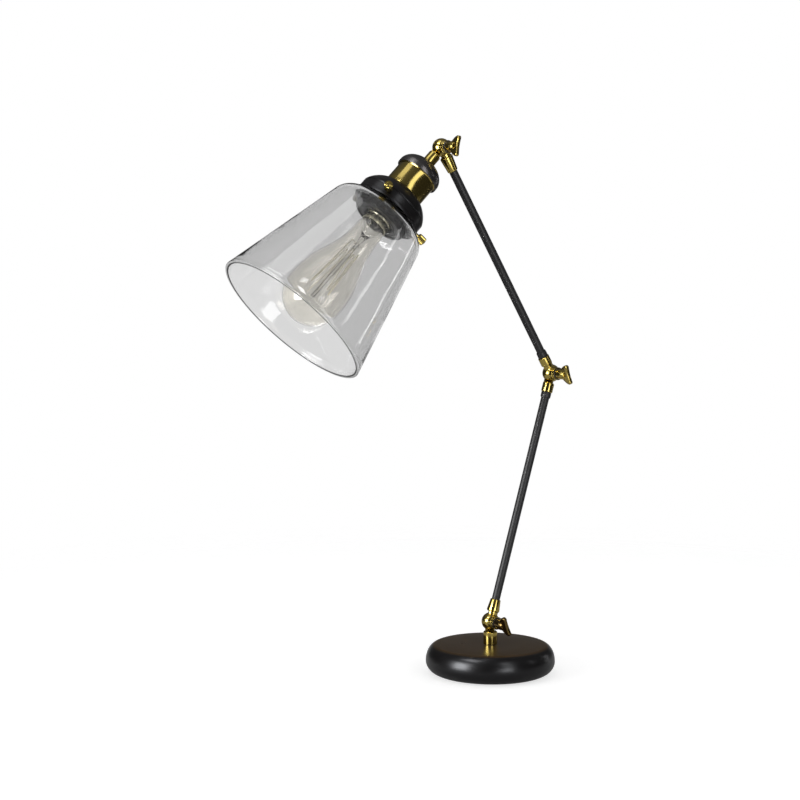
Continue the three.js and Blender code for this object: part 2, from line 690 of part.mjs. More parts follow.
function wingNut(turn) {
  const end = NUT_FACE + HUB_LENGTH;
  const hub = turnedOnPivot(
    [
      [0, -end],
      [HUB_TIP_RADIUS, -end],
      [HUB_RADIUS, HUB_TAPER_LENGTH - end],
      [HUB_RADIUS, -NUT_FACE],
      [SCREW_HOLE_RADIUS, -NUT_FACE],
      [SCREW_HOLE_RADIUS, -NUT_BORE_END],
      [0, -NUT_BORE_END],
    ],
    SMALL_SIDES,
  );
  const wings = new THREE.ExtrudeGeometry(wingShape(), {
    depth: WING_THICKNESS - WING_BEVEL * 2,
    bevelSize: WING_BEVEL,
    bevelThickness: WING_BEVEL,
    bevelSegments: 1,
    curveSegments: CURVE_STEPS,
  }).translate(0, 0, WING_BEVEL - WING_THICKNESS / 2);
  const bore = turnedOnPivot(
    [[0, -NUT_BORE_END], [SCREW_HOLE_RADIUS, -NUT_BORE_END], [SCREW_HOLE_RADIUS, 0], [0, 0]],
    SMALL_SIDES,
  );
  return hub.add(solid(wings).subtract(bore)).rotate([0, turn, 0]);
}

// The loose pieces of one joint, at its pivot.
function joint(name, pivot, wingTurn) {
  const group = frameAt(pivot, 0);
  group.add(
    mesh(`${name}_friction_ring`, frictionRing(), "plastic"),
    mesh(`${name}_pivot_screw`, pivotScrew(), "brass"),
    mesh(`${name}_nut_washer`, nutWasher(), "bronze"),
    mesh(`${name}_wing_nut`, wingNut(wingTurn), "brass"),
  );
  return group;
}

// A lead along Z through stations of [place, offset from the swing plane].
function leadRun(stations) {
  const flat = LEAD_HALF_WIDTH - LEAD_HALF_THICKNESS;
  const section = new THREE.Shape();
  section.absarc(flat, 0, LEAD_HALF_THICKNESS, -Math.PI / 2, Math.PI / 2);
  section.absarc(-flat, 0, LEAD_HALF_THICKNESS, Math.PI / 2, (Math.PI * 3) / 2);
  const runs = stations.length - 1;
  const made = new THREE.ExtrudeGeometry(section, {
    depth: runs,
    steps: runs,
    bevelEnabled: false,
    curveSegments: CURVE_STEPS,
  });
  const point = made.attributes.position;
  for (let i = 0; i < point.count; i++) {
    const [place, offset] = stations[Math.round(point.getZ(i))];
    point.setXYZ(i, point.getX(i), point.getY(i) + offset, place);
  }
  return solid(made);
}

// The lead inside an arm, from the hollow of its front half ball below to that of the knuckle above.
function armLead(topRear) {
  const topOffset = topRear ? LEAD_OFFSET : -LEAD_OFFSET;
  return leadRun([
    [LEAD_START, -LEAD_OFFSET],
    [FERRULE_START, -LEAD_OFFSET],
    [FERRULE_START + LEAD_RETURN, 0],
    [ARM_LENGTH - FERRULE_START - LEAD_RETURN, 0],
    [ARM_LENGTH - FERRULE_START, topOffset],
    [ARM_LENGTH - LEAD_START, topOffset],
  ]);
}

function armTube(nearEnd, farEnd) {
  const from = nearEnd - TUBE_GRIP + CLEARANCE;
  const to = ARM_LENGTH - farEnd + TUBE_GRIP - CLEARANCE;
  return tube(TUBE_RADIUS, TUBE_RADIUS - TUBE_WALL, from, to, SMALL_SIDES);
}

// Black ring on the tube beside the elbow, tapered away from its ferrule.
function armCollar(ferruleEnd) {
  const inner = TUBE_RADIUS + CLEARANCE;
  const from = ferruleEnd + CLEARANCE;
  return turned(
    [
      [inner, from],
      [COLLAR_RADIUS, from],
      [COLLAR_RADIUS, from + COLLAR_LENGTH - COLLAR_TAPER],
      [(inner + COLLAR_RADIUS) / 2, from + COLLAR_LENGTH],
      [inner, from + COLLAR_LENGTH],
    ],
    SMALL_SIDES,
  );
}

function lowerArm() {
  const group = frameAt(LOWER_PIVOT, LOWER_ARM_LEAN);
  const top = hanging(knuckle(true, shortFerrule(ELBOW_LOWER_FERRULE_END))).translate([0, 0, ARM_LENGTH]);
  const collar = hanging(armCollar(ELBOW_LOWER_FERRULE_END)).translate([0, 0, ARM_LENGTH]);
  group.add(
    mesh("lower_arm_foot_knuckle", knuckle(false, longFerrule(LOWER_FERRULE_END)), "brass"),
    mesh("lower_arm_tube", armTube(LOWER_FERRULE_END, ELBOW_LOWER_FERRULE_END), "charcoal"),
    mesh("lower_arm_collar", collar, "charcoal"),
    mesh("lower_arm_top_knuckle", top, "brass"),
    mesh("lower_arm_lead", armLead(true), "plastic"),
  );
  return group;
}

function upperArm() {
  const group = frameAt(ELBOW_PIVOT, UPPER_ARM_LEAN);
  const top = hanging(knuckle(false, longFerrule(HEAD_FERRULE_END))).translate([0, 0, ARM_LENGTH]);
  group.add(
    mesh("upper_arm_foot_knuckle", knuckle(false, shortFerrule(ELBOW_UPPER_FERRULE_END)), "brass"),
    mesh("upper_arm_collar", armCollar(ELBOW_UPPER_FERRULE_END), "charcoal"),
    mesh("upper_arm_tube", armTube(ELBOW_UPPER_FERRULE_END, HEAD_FERRULE_END), "charcoal"),
    mesh("upper_arm_top_knuckle", top, "brass"),
    mesh("upper_arm_lead", armLead(false), "plastic"),
  );
  return group;
}

// Lamp holder, with its round pieces fitted outwards from the bulb's cap
const NECK_END = NECK_LENGTH;
const CAP_SHOULDER = NECK_END + CAP_DOME_LENGTH;
const CAP_RIM_END = CAP_SHOULDER + CAP_RIM_LENGTH;
const SOCKET_SHELL_START = CAP_RIM_END - SOCKET_SHELL_GRIP;
const HOLDER_START = CAP_RIM_END + SOCKET_SHELL_LENGTH;
const HOLDER_SEAT = HOLDER_START + HOLDER_WALL; // underside of the holder's top
const HOLDER_SHOULDER = HOLDER_START + HOLDER_DOME_LENGTH;
const HOLDER_END = HOLDER_SHOULDER + HOLDER_SKIRT_LENGTH;
const INSULATOR_END = HOLDER_START + INSULATOR_REACH;
const INSULATOR_START = INSULATOR_END - INSULATOR_LENGTH;
const INSULATOR_FLOOR = INSULATOR_END - INSULATOR_BORE_DEPTH;
const SLEEVE_END = INSULATOR_END + CLEARANCE;
const CAP_HOLE_RADIUS = SPIGOT_RADIUS + CLEARANCE;
const SCREW_SHELL_RADIUS = BULB_CAP_RADIUS + CLEARANCE + SCREW_SHELL_WALL;
const INSULATOR_BORE_RADIUS = SCREW_SHELL_RADIUS + CLEARANCE;
const INSULATOR_RADIUS = INSULATOR_BORE_RADIUS + INSULATOR_WALL;
const SLEEVE_INNER = INSULATOR_RADIUS + CLEARANCE;
const SLEEVE_OUTER = SLEEVE_INNER + SLEEVE_WALL;
const SHELL_INNER = SLEEVE_OUTER + CLEARANCE;
const SOCKET_SHELL_RADIUS = SHELL_INNER + SOCKET_SHELL_WALL;
const CAP_RIM_RADIUS = SOCKET_SHELL_RADIUS + SOCKET_SHELL_BEAD + CLEARANCE + CAP_WALL;
const RING_INNER = SLEEVE_OUTER + CLEARANCE;
const RING_HUB_RADIUS = RING_INNER + RING_HUB_WALL;
const RING_RADIUS = GLASS_NECK_RADIUS - GLASS_NECK_WALL - CLEARANCE;
const HOLDER_RADIUS = GLASS_NECK_RADIUS + GLASS_LIP_HEIGHT + HOLDER_ROOM + HOLDER_WALL;

function socketCap() {
  const rim = CAP_RIM_RADIUS;
  const dome = bend(
    [CAP_TOP_RADIUS, NECK_END],
    [(CAP_TOP_RADIUS + rim) / 2, NECK_END + CAP_WALL],
    [rim, (NECK_END + CAP_SHOULDER) / 2],
    [rim, CAP_SHOULDER],
  );
  const under = bend(
    [CAP_NUT_FLATS / Math.sqrt(3) + CLEARANCE, NECK_END + CAP_WALL],
    [(CAP_TOP_RADIUS + rim) / 2 - CAP_WALL, NECK_END + CAP_WALL * 2],
    [rim - CAP_WALL, (NECK_END + CAP_SHOULDER) / 2 + CAP_WALL],
    [rim - CAP_WALL, CAP_SHOULDER],
  );
  return turned([
    [CAP_HOLE_RADIUS, NECK_END],
    ...dome,
    [rim, CAP_RIM_END],
    [rim - CAP_WALL, CAP_RIM_END],
    ...under.reverse(),
    [CAP_HOLE_RADIUS, NECK_END + CAP_WALL],
  ]);
}

// Straight brass barrel, with a bead that seats inside the cap's rim.
function socketShell() {
  const bead = SOCKET_SHELL_RADIUS + SOCKET_SHELL_BEAD;
  const beadEnd = SOCKET_SHELL_START + SOCKET_SHELL_BEAD_WIDTH;
  const end = HOLDER_START - CLEARANCE;
  return turned([
    [SHELL_INNER, SOCKET_SHELL_START],
    [bead, SOCKET_SHELL_START],
    [bead, beadEnd],
    [SOCKET_SHELL_RADIUS, beadEnd + SOCKET_SHELL_BEAD],
    [SOCKET_SHELL_RADIUS, end],
    [SHELL_INNER, end],
  ]);
}

// Insulating body with the bore that the bulb screws into.
function insulator() {
  return turned([
    [0, INSULATOR_START],
    [INSULATOR_RADIUS, INSULATOR_START],
    [INSULATOR_RADIUS, INSULATOR_END],
    [INSULATOR_BORE_RADIUS, INSULATOR_END],
    [INSULATOR_BORE_RADIUS, INSULATOR_FLOOR],
    [0, INSULATOR_FLOOR],
  ]);
}

// Bent strip that touches the bulb's foot, its free end raised off the floor of the bore.
function centreContact() {
  const floor = INSULATOR_FLOOR + CLEARANCE;
  const half = CONTACT_HALF_LENGTH;
  const strip = new THREE.Shape();
  strip.moveTo(-half, floor);
  strip.lineTo(0, floor);
  strip.lineTo(half, floor + CONTACT_RISE);
  strip.lineTo(half, floor + CONTACT_RISE + CONTACT_THICKNESS);
  strip.lineTo(0, floor + CONTACT_THICKNESS);
  strip.lineTo(-half, floor + CONTACT_THICKNESS);
  strip.closePath();
  const made = new THREE.ExtrudeGeometry(strip, { depth: CONTACT_WIDTH, bevelEnabled: false });
  return solid(made.translate(0, 0, -CONTACT_WIDTH / 2).rotateX(Math.PI / 2));
}

// Black dome and skirt over the glass's neck, drilled for the thumb screws.
function shadeHolder() {
  const hole = RING_INNER;
  const skirt = HOLDER_RADIUS - HOLDER_WALL;
  const dome = bend(
    [SOCKET_SHELL_RADIUS + SOCKET_SHELL_BEAD, HOLDER_START],
    [(HOLDER_RADIUS + SOCKET_SHELL_RADIUS) / 2, HOLDER_START + HOLDER_WALL * 1.5],
    [HOLDER_RADIUS - HOLDER_WALL, HOLDER_SHOULDER - HOLDER_DOME_LENGTH / 3],
    [HOLDER_RADIUS, HOLDER_SHOULDER],
  );
  const under = bend(
    [RING_HUB_RADIUS + CLEARANCE, HOLDER_SEAT],
    [(skirt + RING_HUB_RADIUS) / 2, HOLDER_SEAT + HOLDER_WALL * 2],
    [skirt - HOLDER_WALL, HOLDER_SHOULDER - HOLDER_DOME_LENGTH / 3 + HOLDER_WALL / 2],
    [skirt, HOLDER_SHOULDER],
  );
  const outline = [
    [hole, HOLDER_START],
    ...dome,
    [HOLDER_RADIUS, HOLDER_END - HOLDER_LIP_WIDTH],
    [HOLDER_RADIUS + HOLDER_LIP, HOLDER_END - HOLDER_LIP_WIDTH + HOLDER_LIP],
    [HOLDER_RADIUS + HOLDER_LIP, HOLDER_END],
    [skirt, HOLDER_END],
    ...under.reverse(),
    [hole, HOLDER_SEAT],
  ];
  let holder = turned(outline, LARGE_SIDES);
  for (const turn of THUMB_TURNS) {
    holder = holder.subtract(thumbRod(THUMB_SHANK_RADIUS + CLEARANCE, RING_RADIUS, THUMB_HEAD_START, turn));
  }
  return holder;
}

// Round rod along a thumb screw's own line, between two distances from the head's axis.
function thumbRod(radius, from, to, turn) {
  return cylinder(radius, from, to).rotate([0, 90, 0]).translate([0, 0, THUMB_PLACE]).rotate([0, 0, turn]);
}

// Ring nut that clamps the holder, with a flange that shows inside the glass.
function ringNut() {
  const start = HOLDER_SEAT + CLEARANCE;
  const face = SLEEVE_END + CLEARANCE;
  const end = face + RING_FLANGE_WALL;
  const flange = end - RING_FLANGE_LENGTH;
  const bore = BULB_CAP_RADIUS + RING_HOLE_ROOM;
  return turned([
    [RING_INNER, start],
    [RING_HUB_RADIUS, start],
    [RING_HUB_RADIUS, flange],
    [RING_RADIUS, flange],
    [RING_RADIUS, end - RING_EDGE_WIDTH],
    [RING_RADIUS - RING_EDGE_WIDTH, end],
    [bore + RING_EDGE_WIDTH, end],
    [bore, end - RING_EDGE_WIDTH],
    [bore, face],
    [RING_INNER, face],
  ]);
}

const THUMB_PLACE = HOLDER_SHOULDER + THUMB_OFFSET;
const THUMB_HEAD_START = HOLDER_RADIUS + THUMB_SHANK_SHOWN_LENGTH; // from the head's axis
const THUMB_TURNS = Array.from({ length: THUMB_COUNT }, (_, i) => THUMB_TURN + (360 / THUMB_COUNT) * i);

// Knurled screw along +X, turned to its place round the head.
function thumbScrew(turn) {
  const tip = GLASS_NECK_RADIUS + CLEARANCE;
  const shank = thumbRod(THUMB_SHANK_RADIUS, tip, THUMB_HEAD_START + THUMB_EDGE_WIDTH, turn);
  const teeth = new THREE.Shape(
    around(THUMB_TEETH * 2, 1, 0).map((point, i) => {
      const radius = THUMB_HEAD_RADIUS - THUMB_EDGE_WIDTH - (i % 2) * THUMB_KNURL_DEPTH;
      return new THREE.Vector2(point.x * radius, point.y * radius);
    }),
  );
  const head = new THREE.ExtrudeGeometry(teeth, {
    depth: THUMB_HEAD_LENGTH - THUMB_EDGE_WIDTH * 2,
    bevelSize: THUMB_EDGE_WIDTH,
    bevelThickness: THUMB_EDGE_WIDTH,
    bevelSegments: 1,
  });
  head.rotateY(Math.PI / 2).translate(THUMB_HEAD_START + THUMB_EDGE_WIDTH, 0, THUMB_PLACE);
  return solid(head).rotate([0, 0, turn]).add(shank);
}

const GLASS_NECK_END = THUMB_PLACE + GLASS_NECK_LENGTH;
const GLASS_CONE_START = GLASS_NECK_END + GLASS_SHOULDER_LENGTH;
const GLASS_MOUTH = GLASS_CONE_START + GLASS_CONE_LENGTH;

// Glass shade: a lip that rests on the thumb screws, a neck, a round shoulder and a long flared cone.
function glassShade() {
  const neck = GLASS_NECK_RADIUS;
  const inner = neck - GLASS_NECK_WALL;
  const lipEnd = THUMB_PLACE - THUMB_SHANK_RADIUS - CLEARANCE;
  const lipStart = lipEnd - GLASS_LIP_WIDTH;
  const shoulder = bend(
    [neck, GLASS_NECK_END],
    [neck + GLASS_WALL / 2, GLASS_NECK_END + GLASS_WALL],
    [GLASS_CONE_RADIUS - GLASS_WALL, GLASS_NECK_END + GLASS_WALL],
    [GLASS_CONE_RADIUS, GLASS_CONE_START],
    FINE_STEPS,
  );
  const hollow = bend(
    [inner, GLASS_NECK_END + GLASS_WALL / 2],
    [inner + GLASS_WALL / 2, GLASS_NECK_END + GLASS_WALL * 2],
    [GLASS_SHOULDER_RADIUS + GLASS_WALL, GLASS_NECK_END + GLASS_SHOULDER_LENGTH / 4],
    [GLASS_CONE_RADIUS - GLASS_WALL, GLASS_CONE_START + GLASS_WALL / 2],
    FINE_STEPS,
  );
  const half = GLASS_WALL / 2; // of the mouth's round edge
  const rim = arc(GLASS_MOUTH_RADIUS - half, GLASS_MOUTH - half, half, half, 0, 180);
  return turned(
    [
      [inner, lipStart],
      [neck + GLASS_LIP_HEIGHT, lipStart],
      [neck + GLASS_LIP_HEIGHT, lipEnd],
      [neck, lipEnd],
      ...shoulder,
      ...rim,
      ...hollow.reverse(),
    ],
    LARGE_SIDES,
  );
}

// Bulb
const BULB_FOOT = INSULATOR_FLOOR + CLEARANCE + CONTACT_RISE + CONTACT_THICKNESS + CONTACT_GAP;
const BULB_BASE_START = BULB_FOOT + BULB_CONTACT_HEIGHT + CLEARANCE;
const BULB_CAP_START = BULB_BASE_START + BULB_BASE_HEIGHT;
const BULB_CAP_END = BULB_CAP_START + BULB_CAP_LENGTH;
const BULB_NECK_START = BULB_CAP_END - BULB_NECK_GRIP;
const BULB_NECK_RADIUS = BULB_CAP_RADIUS - BULB_CAP_RIM_WALL - CLEARANCE;
const BULB_THROAT = BULB_CAP_END + BULB_NECK_LENGTH;
const BULB_TIP = BULB_CAP_END + BULB_GLASS_LENGTH;
const MOUNT_THROAT = BULB_NECK_START + MOUNT_FLARE_LENGTH;
const FILAMENT_TOP = MOUNT_THROAT + FILAMENT_GAP;
const FILAMENT_BOTTOM = FILAMENT_TOP + FILAMENT_LENGTH;

// The bulb's outside from its neck to its round tip, moved inwards by an inset.
function bulbSide(inset) {
  const belly = BULB_RADIUS - inset;
  const bellyPlace = BULB_TIP - BULB_RADIUS;
  const throat = BULB_NECK_RADIUS + BULB_THROAT_RISE - inset;
  const flare = bend(
    [throat, BULB_THROAT],
    [throat, (BULB_THROAT + bellyPlace) / 2],
    [belly, (BULB_THROAT + bellyPlace) / 2],
    [belly, bellyPlace],
    FINE_STEPS,
  );
  const tip = arc(0, bellyPlace, belly, belly, 0, 90, FINE_STEPS).slice(1, -1);
  return [
    [BULB_NECK_RADIUS - inset, BULB_NECK_START],
    [BULB_NECK_RADIUS - inset, BULB_CAP_END + CLEARANCE],
    ...flare,
    ...tip,
    [0, BULB_TIP - inset],
  ];
}

function bulbGlass() {
  return turned([...bulbSide(BULB_WALL).reverse(), ...bulbSide(0)]);
}

// Screw cap, with its thread as plain ribs.
function bulbCap() {
  const root = BULB_CAP_RADIUS - BULB_THREAD_DEPTH;
  const half = BULB_THREAD_PITCH / 2;
  const threadStart = BULB_CAP_START + BULB_CAP_WALL;
  const ribs = Array.from({ length: BULB_THREAD_COUNT }, (_, i) => [
    [root, threadStart + BULB_THREAD_PITCH * i],
    [BULB_CAP_RADIUS, threadStart + BULB_THREAD_PITCH * i + half],
  ]).flat();
  const innerRoot = BULB_NECK_RADIUS + CLEARANCE - BULB_CAP_WALL;
  const mouth = BULB_NECK_RADIUS + CLEARANCE;
  return turned([
    [BULB_CAP_HOLE_RADIUS, BULB_CAP_START],
    [innerRoot, BULB_CAP_START],
    ...ribs,
    [root, threadStart + BULB_THREAD_PITCH * BULB_THREAD_COUNT],
    [BULB_CAP_RADIUS, threadStart + BULB_THREAD_PITCH * BULB_THREAD_COUNT + half],
    [BULB_CAP_RADIUS, BULB_CAP_END],
    [mouth, BULB_CAP_END],
    [mouth, BULB_NECK_START - CLEARANCE],
    [innerRoot, BULB_NECK_START - CLEARANCE - BULB_CAP_WALL],
    [innerRoot, BULB_CAP_START + BULB_CAP_WALL],
    [BULB_CAP_HOLE_RADIUS, BULB_CAP_START + BULB_CAP_WALL],
  ]);
}

// Black glass that holds the contact in the cap's end.
function bulbBase() {
  const hole = BULB_CAP_HOLE_RADIUS - CLEARANCE;
  return turned(
    [
      [0, BULB_BASE_START],
      [BULB_BASE_RADIUS, BULB_BASE_START],
      [hole, BULB_CAP_START - CLEARANCE],
      [hole, BULB_CAP_START + BULB_CAP_WALL],
      [0, BULB_CAP_START + BULB_CAP_WALL],
    ],
    SMALL_SIDES,
  );
}

function bulbContact() {
  return cylinder(BULB_CONTACT_RADIUS, BULB_FOOT, BULB_FOOT + BULB_CONTACT_HEIGHT);
}

// Glass flare and rod that carry the filament.
function bulbMount() {
  const flare = BULB_NECK_RADIUS - BULB_WALL - CLEARANCE;
  const wall = BULB_WALL;
  const start = BULB_NECK_START + BULB_WALL;
  const hollowEnd = BULB_NECK_START + MOUNT_HOLLOW_LENGTH;
  const side = bend(
    [flare, start],
    [flare, (start + MOUNT_THROAT) / 2],
    [MOUNT_THROAT_RADIUS, (start + MOUNT_THROAT) / 2],
    [MOUNT_THROAT_RADIUS, MOUNT_THROAT],
  );
  const hollow = bend(
    [0, hollowEnd],
    [MOUNT_THROAT_RADIUS - wall, hollowEnd - wall],
    [flare - wall, (start + hollowEnd) / 2],
    [flare - wall, start],
  );
  const end = FILAMENT_BOTTOM + MOUNT_TAIL_LENGTH;
  const rod = [
    [MOUNT_ROD_RADIUS, MOUNT_THROAT + MOUNT_ROD_RADIUS],
    [MOUNT_ROD_RADIUS, end],
    [0, end],
  ];
  return turned([...hollow, ...side, ...rod], SMALL_SIDES);
}

// The filament's turning points, alternately on the upper and the lower circle.
const FILAMENT_TURNS = Array.from({ length: FILAMENT_RUNS + 1 }, (_, i) => {
  const upper = i % 2 === 0;
  const circle = upper ? FILAMENT_TOP_CIRCLE_RADIUS : FILAMENT_BOTTOM_CIRCLE_RADIUS;
  const turn = (Math.PI * 2 * i) / (FILAMENT_RUNS + 1);
  const place = upper ? FILAMENT_TOP : FILAMENT_BOTTOM;
  return new THREE.Vector3(circle * Math.cos(turn), circle * Math.sin(turn), place);
});

// One unbroken wire that runs up and down between the circles.
function filament() {
  const runs = FILAMENT_TURNS.slice(1).map((point, i) => wire(FILAMENT_TURNS[i], point, FILAMENT_RADIUS));
  const knots = FILAMENT_TURNS.map(({ x, y, z }) =>
    solid(new THREE.IcosahedronGeometry(FILAMENT_RADIUS * Math.SQRT2, 0).translate(x, y, z)),
  );
  return wasm.Manifold.union([...runs, ...knots]);
}

// Thin spokes from the glass rod to the filament's turning points, on a clip round the rod.
function filamentSupport(place, turns) {
  const clip = tube(
    MOUNT_ROD_RADIUS + CLEARANCE + SUPPORT_RADIUS * 2,
    MOUNT_ROD_RADIUS + CLEARANCE,
    place - SUPPORT_RADIUS,
    place + SUPPORT_RADIUS,
    SMALL_SIDES,
  );
  const spokes = turns.map((turn) => {
    const outwards = new THREE.Vector3(turn.x, turn.y, 0).normalize();
    const reach = Math.hypot(turn.x, turn.y) - FILAMENT_RADIUS * Math.SQRT2 - CLEARANCE;
    const start = outwards.clone().multiplyScalar(MOUNT_ROD_RADIUS + CLEARANCE + SUPPORT_RADIUS).setZ(place);
    const end = outwards.clone().multiplyScalar(reach).setZ(place);
    return wire(start, end, SUPPORT_RADIUS);
  });
  return wasm.Manifold.union([clip, ...spokes]);
}

function bulb() {
  const upper = FILAMENT_TURNS.filter((turn) => turn.z === FILAMENT_TOP);
  const lower = FILAMENT_TURNS.filter((turn) => turn.z === FILAMENT_BOTTOM);
  return [
    mesh("bulb_glass", bulbGlass(), "glass"),
    mesh("bulb_cap", bulbCap(), "nickel"),
    mesh("bulb_cap_glass", bulbBase(), "plastic"),
    mesh("bulb_contact", bulbContact(), "nickel"),
    mesh("bulb_mount", bulbMount(), "glass"),
    mesh("bulb_filament", filament(), "wire"),
    mesh("bulb_support_near", filamentSupport(FILAMENT_TOP, upper), "wire"),
    mesh("bulb_support_far", filamentSupport(FILAMENT_BOTTOM, lower), "wire"),
  ];
}

function head() {
  const group = frameAt(HEAD_PIVOT, HEAD_LEAN);
  const capUnder = NECK_END + CAP_WALL + CLEARANCE;
  const capNut = hexNut(CAP_NUT_FLATS, CAP_HOLE_RADIUS, capUnder, capUnder + CAP_NUT_THICKNESS);
  const sleeve = tube(SLEEVE_OUTER, SLEEVE_INNER, SLEEVE_END - SLEEVE_LENGTH, SLEEVE_END);
  const screwShell = tube(
    SCREW_SHELL_RADIUS,
    SCREW_SHELL_RADIUS - SCREW_SHELL_WALL,
    INSULATOR_END - CLEARANCE - SCREW_SHELL_LENGTH,
    INSULATOR_END - CLEARANCE,
  );
  const lead = leadRun([
    [LEAD_START, LEAD_OFFSET],
    [FERRULE_START, LEAD_OFFSET],
    [FERRULE_START + LEAD_RETURN, 0],
    [INSULATOR_START - CLEARANCE, 0],
  ]);
  group.add(
    mesh("head_neck_knuckle", knuckle(true, neckPost()), "brass"),
    mesh("head_lead", lead, "plastic"),
    mesh("socket_cap", socketCap(), "bronze"),
    mesh("socket_cap_nut", capNut, "steel"),
    mesh("socket_shell", socketShell(), "brass"),
    mesh("socket_insulator", insulator(), "ceramic"),
    mesh("socket_sleeve", sleeve, "plastic"),
    mesh("socket_screw_shell", screwShell, "nickel"),
    mesh("socket_centre_contact", centreContact(), "brass"),
    mesh("shade_holder", shadeHolder(), "black"),
    mesh("shade_ring_nut", ringNut(), "plastic"),
    ...THUMB_TURNS.map((turn, i) => mesh(`shade_thumb_screw_${i + 1}`, thumbScrew(turn), "brass")),
    mesh("glass_shade", glassShade(), "glass"),
    ...bulb(),
  );
  return group;
}

const lamp = new THREE.Group();
lamp.add(
  base(),
  joint("lower_joint", LOWER_PIVOT, LOWER_WING_TURN),
  lowerArm(),
  joint("elbow_joint", ELBOW_PIVOT, ELBOW_WING_TURN),
  upperArm(),
  joint("head_joint", HEAD_PIVOT, HEAD_WING_TURN),
  head(),
);

export default lamp;
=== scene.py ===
import json
import math

import bmesh
import bpy
from mathutils import Matrix, Vector

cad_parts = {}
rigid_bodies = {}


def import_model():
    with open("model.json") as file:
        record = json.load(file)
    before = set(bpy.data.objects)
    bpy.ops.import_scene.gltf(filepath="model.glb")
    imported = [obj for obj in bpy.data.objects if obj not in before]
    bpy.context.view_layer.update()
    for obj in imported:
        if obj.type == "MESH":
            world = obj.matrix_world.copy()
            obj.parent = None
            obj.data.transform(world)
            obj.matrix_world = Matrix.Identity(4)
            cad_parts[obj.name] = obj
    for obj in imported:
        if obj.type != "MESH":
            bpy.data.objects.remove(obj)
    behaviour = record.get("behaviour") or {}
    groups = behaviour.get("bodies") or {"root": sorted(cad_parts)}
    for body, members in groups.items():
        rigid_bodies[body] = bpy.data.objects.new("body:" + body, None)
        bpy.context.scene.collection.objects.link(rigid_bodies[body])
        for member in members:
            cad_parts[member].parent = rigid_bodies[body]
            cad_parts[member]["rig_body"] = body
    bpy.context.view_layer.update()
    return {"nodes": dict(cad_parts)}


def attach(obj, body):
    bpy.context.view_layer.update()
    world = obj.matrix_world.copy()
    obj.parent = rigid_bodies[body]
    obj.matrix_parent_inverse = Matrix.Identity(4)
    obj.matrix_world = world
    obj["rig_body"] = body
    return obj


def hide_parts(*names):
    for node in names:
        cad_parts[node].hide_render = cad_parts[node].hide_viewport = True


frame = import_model()

# Camera
# A long lens, low and to the left of the lamp's front, as the photograph was taken.
# The picture is square, so the sensor's width sets both sides.
CAMERA_PLACE = (-0.91052, -1.48174, 0.40920)
CAMERA_AIM = (0.47809, 0.87453, -0.08134)
lens = bpy.data.cameras.new("camera")
lens.lens = 81.2
lens.sensor_width = 36
camera = bpy.data.objects.new("camera", lens)
camera.location = CAMERA_PLACE
camera.rotation_mode = "QUATERNION"
camera.rotation_quaternion = Vector(CAMERA_AIM).to_track_quat("-Z", "Y")
bpy.context.scene.collection.objects.link(camera)
bpy.context.scene.camera = camera

# Base cover
# A bun of spun steel with a flat top, sprayed in black lacquer that has a faint orange peel.
# It stands over the iron weight, and its back is drilled for the cord's bush.
MM = 0.001
BASE_TOP = 28.5
BASE_WALL = 1.6
BELLY_HEIGHT = 12.5
LOW_ARC_MIDDLE = (50, BELLY_HEIGHT)
LOW_ARC_REACH = (13, 11.9)
HIGH_ARC_MIDDLE = (53, BELLY_HEIGHT)
HIGH_ARC_REACH = (10, 16)
FLAT_RADIUS = 30
CORD_HOLE_RADIUS = 4.7
STEM_HOLE_RADIUS = 5.2


class Wire:
    """A socket of a node tree. Sums of wires and numbers add their Math nodes."""

    def __init__(self, net, socket):
        self.net = net
        self.socket = socket

    def sum(self, operation, first, second):
        return self.net.node("ShaderNodeMath", {"operation": operation}, {0: first, 1: second})

    def __add__(self, other):
        return self.sum("ADD", self, other)

    __radd__ = __add__

    def __sub__(self, other):
        return self.sum("SUBTRACT", self, other)

    def __rsub__(self, other):
        return self.sum("SUBTRACT", other, self)

    def __mul__(self, other):
        return self.sum("MULTIPLY", self, other)

    __rmul__ = __mul__

    def __truediv__(self, other):
        return self.sum("DIVIDE", self, other)

    def __mod__(self, other):
        return self.sum("MODULO", self, other)


class Net:
    """A node tree that grows by one node at a time."""

    def __init__(self, tree):
        self.tree = tree

    def node(self, kind, settings=(), values=(), out=0):
        made = self.tree.nodes.new(kind)
        for key, value in dict(settings).items():
            setattr(made, key, value)
        self.fill(made, dict(values))
        return Wire(self, made.outputs[out])

    def fill(self, node, values):
        for key, value in values.items():
            if isinstance(value, Wire):
                self.tree.links.new(value.socket, node.inputs[key])
            else:
                node.inputs[key].default_value = value

    def mask(self, value, low, high):
        values = {"Value": value, "From Min": low, "From Max": high}
        return self.node("ShaderNodeMapRange", {"interpolation_type": "SMOOTHSTEP"}, values)

    def rays(self):
        """Wires that are 1 for the rays of camera and glass, and for those of glass and mirrors."""
        camera_ray = self.node("ShaderNodeLightPath", out="Is Camera Ray")
        glass_ray = self.node("ShaderNodeLightPath", out="Is Transmission Ray")
        return camera_ray + glass_ray, self.node("ShaderNodeLightPath", out="Is Glossy Ray")


